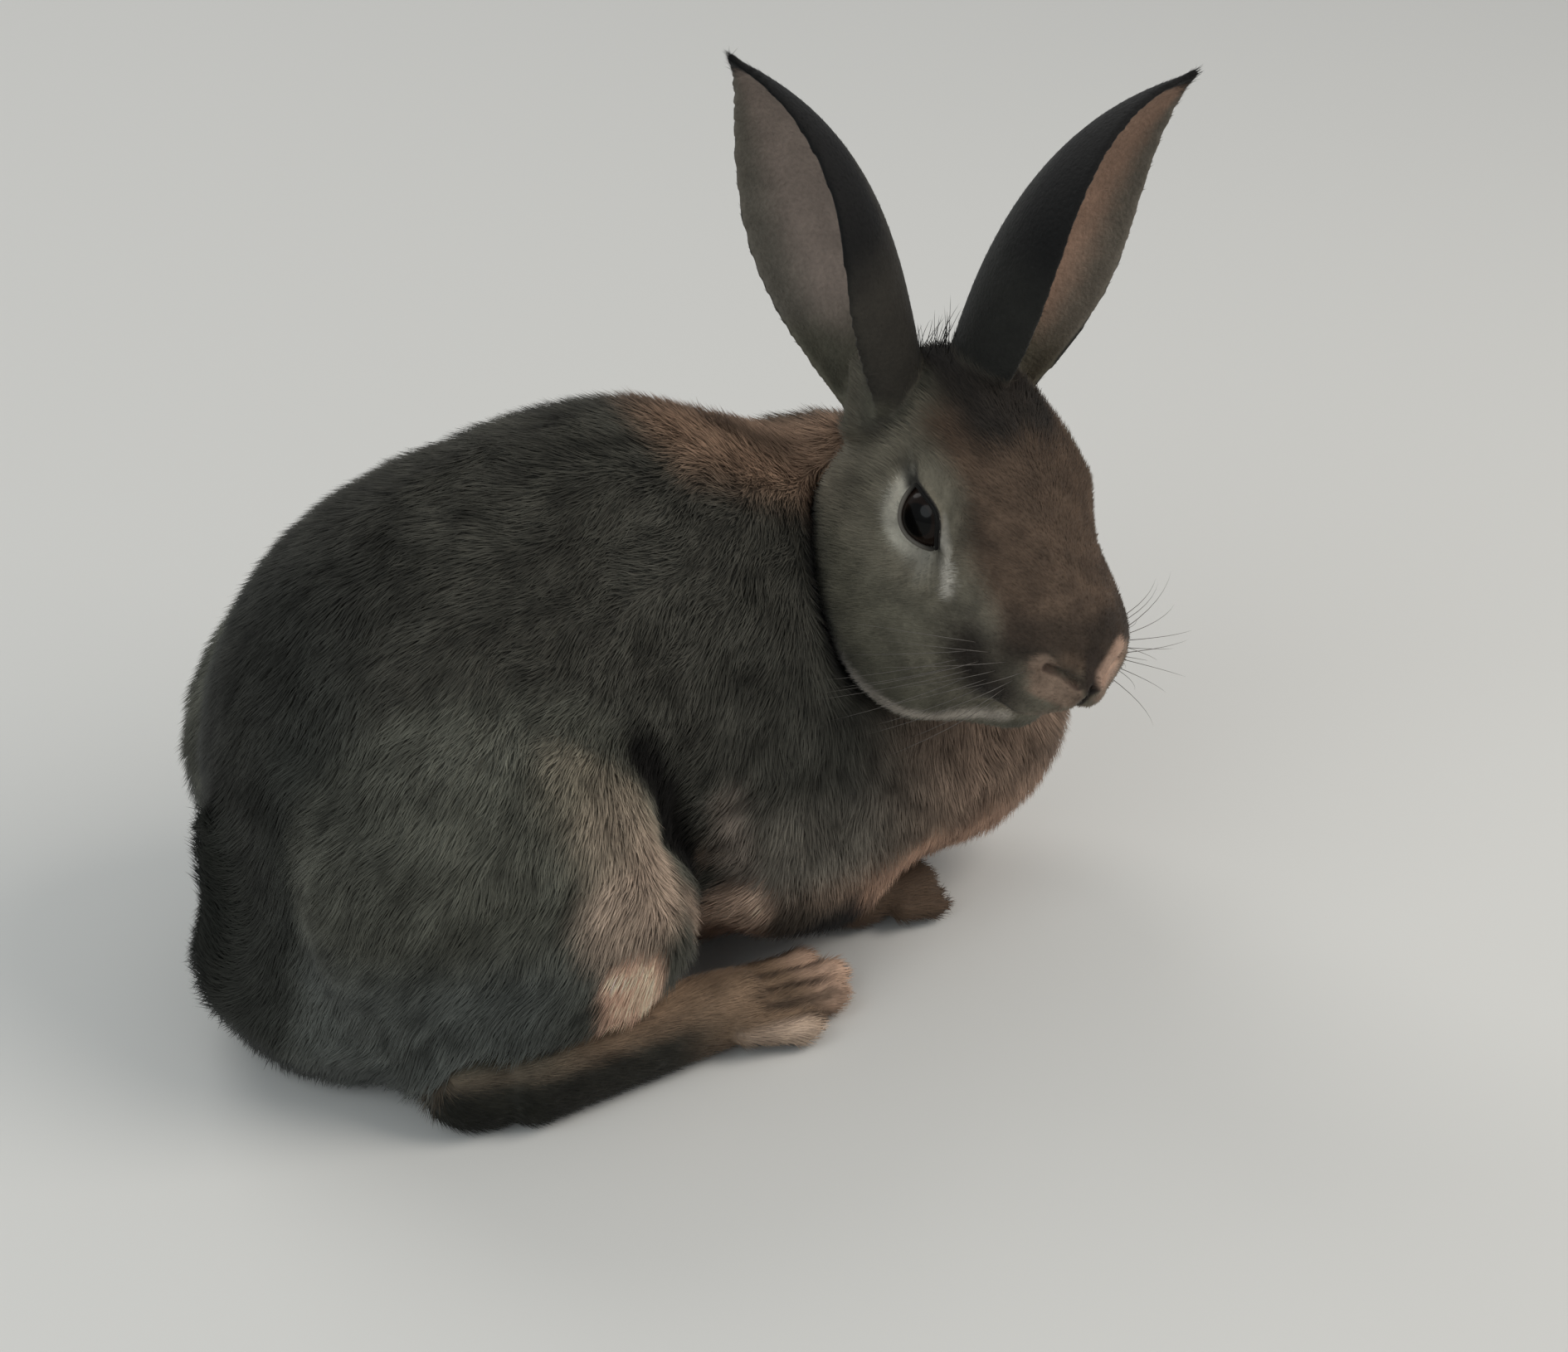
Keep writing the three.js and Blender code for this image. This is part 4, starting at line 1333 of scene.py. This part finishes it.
def coat_shares():
    """How much of each layer grows at each place on the skin."""
    small = np.clip(HEAD + FEET + EARS_BOTH, 0, 1)
    return {
        "body": np.clip(TRUNK + HAUNCHES + FORE_LEGS + NECK + TAIL, 0, 1) * (1 - small),
        "head": HEAD * (1 - EARS_BOTH) * (1.0 - BARE),
        "ears": EARS_BOTH,
        "feet": FEET,
    }


def add_coat():
    """Each layer of the coat, in one piece or parted into zones."""
    look = hair_material("agouti_hair")
    zones = {
        "body": np.searchsorted(np.array(ZONE_STARTS) * L, BODY_X),
        "head": (in_head(SKIN_VERTS)[:, 1] > 0).astype(int),
    }
    for seed, (layer, share) in enumerate(coat_shares().items(), start=101):
        density, width, lean, tones, slot_name = COAT_LAYERS[layer]
        face, bary, rng = roots(np.where(share > 0.02, share * density, 0.0), seed)
        face_zone = zones.get(layer, np.zeros(len(BODY_X), int))[SKIN_TRIS[face][:, 0]]
        for zone in np.unique(face_zone):
            pick = face_zone == zone
            made = tufts(face[pick], bary[pick], rng, width, lean, tones)
            coat_piece(f"coat_{layer}_{zone}", made, look, slot_name)


add_coat()


# ---- eyes

LID_TONES = np.array([0.006, 0.0055, 0.005]), np.array([0.11, 0.1, 0.085])
PUPIL_REACH, IRIS_REACH = 0.48, 0.86  # as shares of the eyeball's radius
BLACK_EYE, IRIS_TONE = 0.001, np.array([0.009, 0.0045, 0.003])


def eye_material():
    made, shader = coloured("dark_eye", 0.2, 0.06)
    shader.inputs["Coat Weight"].default_value = 0.16
    shader.inputs["Coat Roughness"].default_value = 0.07
    return made


def add_eyes():
    """Each eye is a dark ball, with a black pupil in a dark brown iris."""
    look_material = eye_material()
    for name, side in SIDES.items():
        verts, tris = ball((0, 0, 0), (1, 1, 1), 48)
        look, slit, upright = eye_axes(side)
        bulge = 1.0 + 0.05 * ramp(verts[:, 2], 0.5, 1.0)
        local = (verts * bulge[:, None] * (EYE_RADIUS - 0.15)) @ np.array(
            [slit * -side, upright, look]) + eye_place(side)
        off_axis = np.where(verts[:, 2] > 0, np.hypot(verts[:, 0], verts[:, 1]), 1.0)[:, None]
        iris = ramp(off_axis, PUPIL_REACH - 0.03, PUPIL_REACH + 0.03)
        iris = iris * ramp(off_axis, IRIS_REACH + 0.08, IRIS_REACH - 0.04)
        mesh = smooth_mesh(f"eyeball_{name}", from_head(local), tris, BLACK_EYE + iris * IRIS_TONE)
        placed(f"eyeball_{name}", mesh, look_material, "eye", f"eye_{name}")


def add_lids():
    """The lids' edges: the upper one dark and the lower one pale."""
    parts, heights = [], []
    for side in SIDES.values():
        parts.append(lid_margin(side))
        _, aim, _ = eye_reach(parts[-1][0], side)
        heights.append(aim @ eye_axes(side)[2])
    verts, tris = joined(parts)
    upper = ramp(np.concatenate(heights), -0.35, 0.1)[:, None]
    tone = upper * LID_TONES[0] + (1 - upper) * LID_TONES[1]
    mesh = smooth_mesh("lid_margins", from_head(verts), tris, tone)
    placed("lid_margins", mesh, hair_material("lid"), "coat")


add_eyes()
add_lids()


# ---- claws, whiskers and crest

CLAW_LENGTH = 6.5
CLAW_HALF = 1.2
HORN = (0.16, 0.11, 0.08)
OTHER_WAY = ((0, 1, 3), (1, 2, 3))


def claw_form(start, end, outward):
    """A curved claw on the end of a toe, its root buried and its tip just off the floor."""
    ahead = unit((end - start) * [1.0, 1.0, 0.0])
    aside = np.cross([0.0, 0.0, 1.0], ahead)
    rings, turns = 9, 10
    around = np.linspace(0, 2 * math.pi, turns, endpoint=False)
    verts = []
    for t in np.linspace(0, 1, rings):
        half = CLAW_HALF * (1 - t) ** 0.7 + 0.12
        drop = np.array([0.0, 0.0, 0.6 - 3.4 * t ** 1.6])
        centre = end + ahead * (outward + CLAW_LENGTH * t) + drop
        verts.append(centre + np.outer(np.cos(around), aside) * half * 0.8
                     + np.outer(np.sin(around), [0.0, 0.0, 1.0]) * half)
    verts = np.concatenate(verts + [[verts[0].mean(axis=0)], [verts[-1].mean(axis=0)]])
    verts[:, 2] = np.maximum(verts[:, 2], 0.4)
    tris = tube_faces(rings, turns, split=OTHER_WAY)
    last = (rings - 1) * turns
    for i in range(turns):
        j = (i + 1) % turns
        tris += [(len(verts) - 2, j, i), (len(verts) - 1, last + i, last + j)]
    return verts, np.array(tris)


def add_claws():
    parts = []
    for side in SIDES.values():
        for toe in range(TOES):
            parts += [claw_form(*hind_toe(side, toe), 0.5), claw_form(*fore_toe(side, toe), -1.0)]
    placed("claws", smooth_mesh("claws", *joined(parts)), plain("horn", 0.45, HORN), "claw")


def long_hair(root, ahead, bend, length, half):
    """A long thin hair as a closed three-sided spike that bends over."""
    steps = 7
    ahead = unit(ahead)
    across = unit(np.cross(ahead, bend))
    over = np.cross(across, ahead)
    verts = []
    for t in np.linspace(0, 1, steps)[:-1]:
        centre = root + ahead * length * t + bend * length * t * t
        size = half * (1 - 0.8 * t)
        for k in range(3):
            turn = 2 * math.pi * k / 3
            verts.append(centre + (across * math.cos(turn) + over * math.sin(turn)) * size)
    verts.append(root + ahead * length + bend * length)
    tris = [(0, 2, 1)] + tube_faces(steps - 1, 3, split=OTHER_WAY)
    last = 3 * (steps - 2)
    tris += [(last + k, last + (k + 1) % 3, len(verts) - 1) for k in range(3)]
    return np.array(verts), np.array(tris)


def hair_object(name, parts, tone):
    verts, tris = joined(parts)
    placed(name, mesh_from(name, verts * MM, tris), plain(name + "_hair", 0.5, tone), "coat")


WHISKER_ROWS, WHISKERS_IN_ROW = 4, 4
WHISKER_BEND = np.array([-0.3, 0.0, -0.22])
CREST_TRIES = 60


def head_tree():
    return BVHTree.FromPolygons(in_head(SKIN_VERTS).tolist(), SKIN_TRIS.tolist())


def add_whiskers():
    """Four rows on each side of the muzzle, swept back and down."""
    rng = np.random.default_rng(7)
    tree = head_tree()
    parts = []
    for side, row, place in itertools.product(
        SIDES.values(), range(WHISKER_ROWS), range(WHISKERS_IN_ROW)
    ):
        guess = Vector((44.0 - 4.0 * place - row, side * 40.0, -14.0 - 3.6 * row))
        root = tree.ray_cast(guess, Vector((0.0, -side, 0.0)))[0]
        if root is None:
            continue
        ahead = np.array([0.25 - 0.2 * place, side, 0.1 - 0.22 * row])
        ahead = unit(ahead + rng.normal(0, 0.08, 3))
        verts, tris = long_hair(np.array(root), ahead, WHISKER_BEND, rng.uniform(24, 38), 0.12)
        parts.append((from_head(verts), tris))
    hair_object("whiskers", parts, (0.1, 0.09, 0.08))


def add_crest():
    """The few dark hairs that stand up between the ears."""
    rng = np.random.default_rng(8)
    tree = head_tree()
    parts = []
    for _ in range(CREST_TRIES):
        guess = Vector((rng.normal(-36, 3.5), rng.normal(-2, 4.0), 60.0))
        root = tree.ray_cast(guess, Vector((0.0, 0.0, -1.0)))[0]
        if root is None or root[2] > 32:
            continue
        ahead = unit(np.array([-0.15, 0.0, 1.0]) + rng.normal(0, 0.16, 3))
        verts, tris = long_hair(np.array(root) - ahead, ahead, rng.normal(0, 0.12, 3),
                                rng.uniform(8, 15), 0.16)
        parts.append((from_head(verts), tris))
    hair_object("crest", parts, (0.012, 0.011, 0.01))


add_claws()
add_whiskers()
add_crest()


# ---- stage, light and camera

def add_floor():
    verts = np.array([[-4, -4, 0], [4, -4, 0], [4, 4, 0], [-4, 4, 0]], float)
    mesh = mesh_from("floor", verts, np.array([[0, 1, 2], [0, 2, 3]]))
    floor = bpy.data.objects.new("floor", mesh)
    bpy.context.scene.collection.objects.link(floor)
    mesh.materials.append(plain("pale_floor", 0.9, (0.62, 0.62, 0.6)))


def add_light(name, place, size, power, tint):
    lamp = bpy.data.lights.new(name, "AREA")
    lamp.shape = "DISK"
    lamp.size = size
    lamp.energy = power
    lamp.color = tint
    thing = bpy.data.objects.new(name, lamp)
    thing.location = place
    aim = Vector((0.0, 0.0, 0.08)) - Vector(place)
    thing.rotation_euler = aim.to_track_quat("-Z", "Y").to_euler()
    bpy.context.scene.collection.objects.link(thing)


def add_lights():
    world = bpy.data.worlds.new("studio")
    world.use_nodes = True
    background = world.node_tree.nodes["Background"]
    background.inputs["Color"].default_value = (0.95, 0.98, 1.0, 1)
    background.inputs["Strength"].default_value = 0.42
    bpy.context.scene.world = world
    add_light("key", (0.75, -0.75, 1.15), 0.9, 11.0, (1.0, 0.93, 0.86))
    add_light("fill", (-1.1, -0.6, 1.0), 1.2, 7.0, (0.9, 0.97, 1.0))
    add_light("back", (-0.2, 1.2, 1.2), 1.0, 6.0, (1.0, 0.98, 0.95))


CAMERA_BEHIND, CAMERA_ABOVE = math.radians(26.0), math.radians(29.0)
CAMERA_AWAY = 0.87
AIM_RIGHT, AIM_DOWN = 0.0411, 0.0085
LENS, SENSOR_WIDTH = 76.19, 36.0


def add_camera():
    """Seen from the animal's right and a little behind, from above its back."""
    target = Vector((SHIFT[0] * MM, SHIFT[1] * MM, 0.09))
    behind, beside = math.sin(CAMERA_BEHIND), math.cos(CAMERA_BEHIND)
    away = Vector((-behind * math.cos(CAMERA_ABOVE), -beside * math.cos(CAMERA_ABOVE),
                   math.sin(CAMERA_ABOVE)))
    right = Vector((beside, -behind, 0.0))
    upward = right.cross(-away).normalized()
    aim = target + right * AIM_RIGHT - upward * AIM_DOWN
    camera = bpy.data.cameras.new("camera")
    camera.lens = LENS
    camera.sensor_width = SENSOR_WIDTH
    camera.clip_start = 0.05
    thing = bpy.data.objects.new("camera", camera)
    thing.location = target + away * CAMERA_AWAY
    thing.rotation_euler = (aim - thing.location).to_track_quat("-Z", "Y").to_euler()
    bpy.context.scene.collection.objects.link(thing)
    bpy.context.scene.camera = thing


add_floor()
add_lights()
add_camera()
bpy.context.scene.view_settings.view_transform = "Standard"
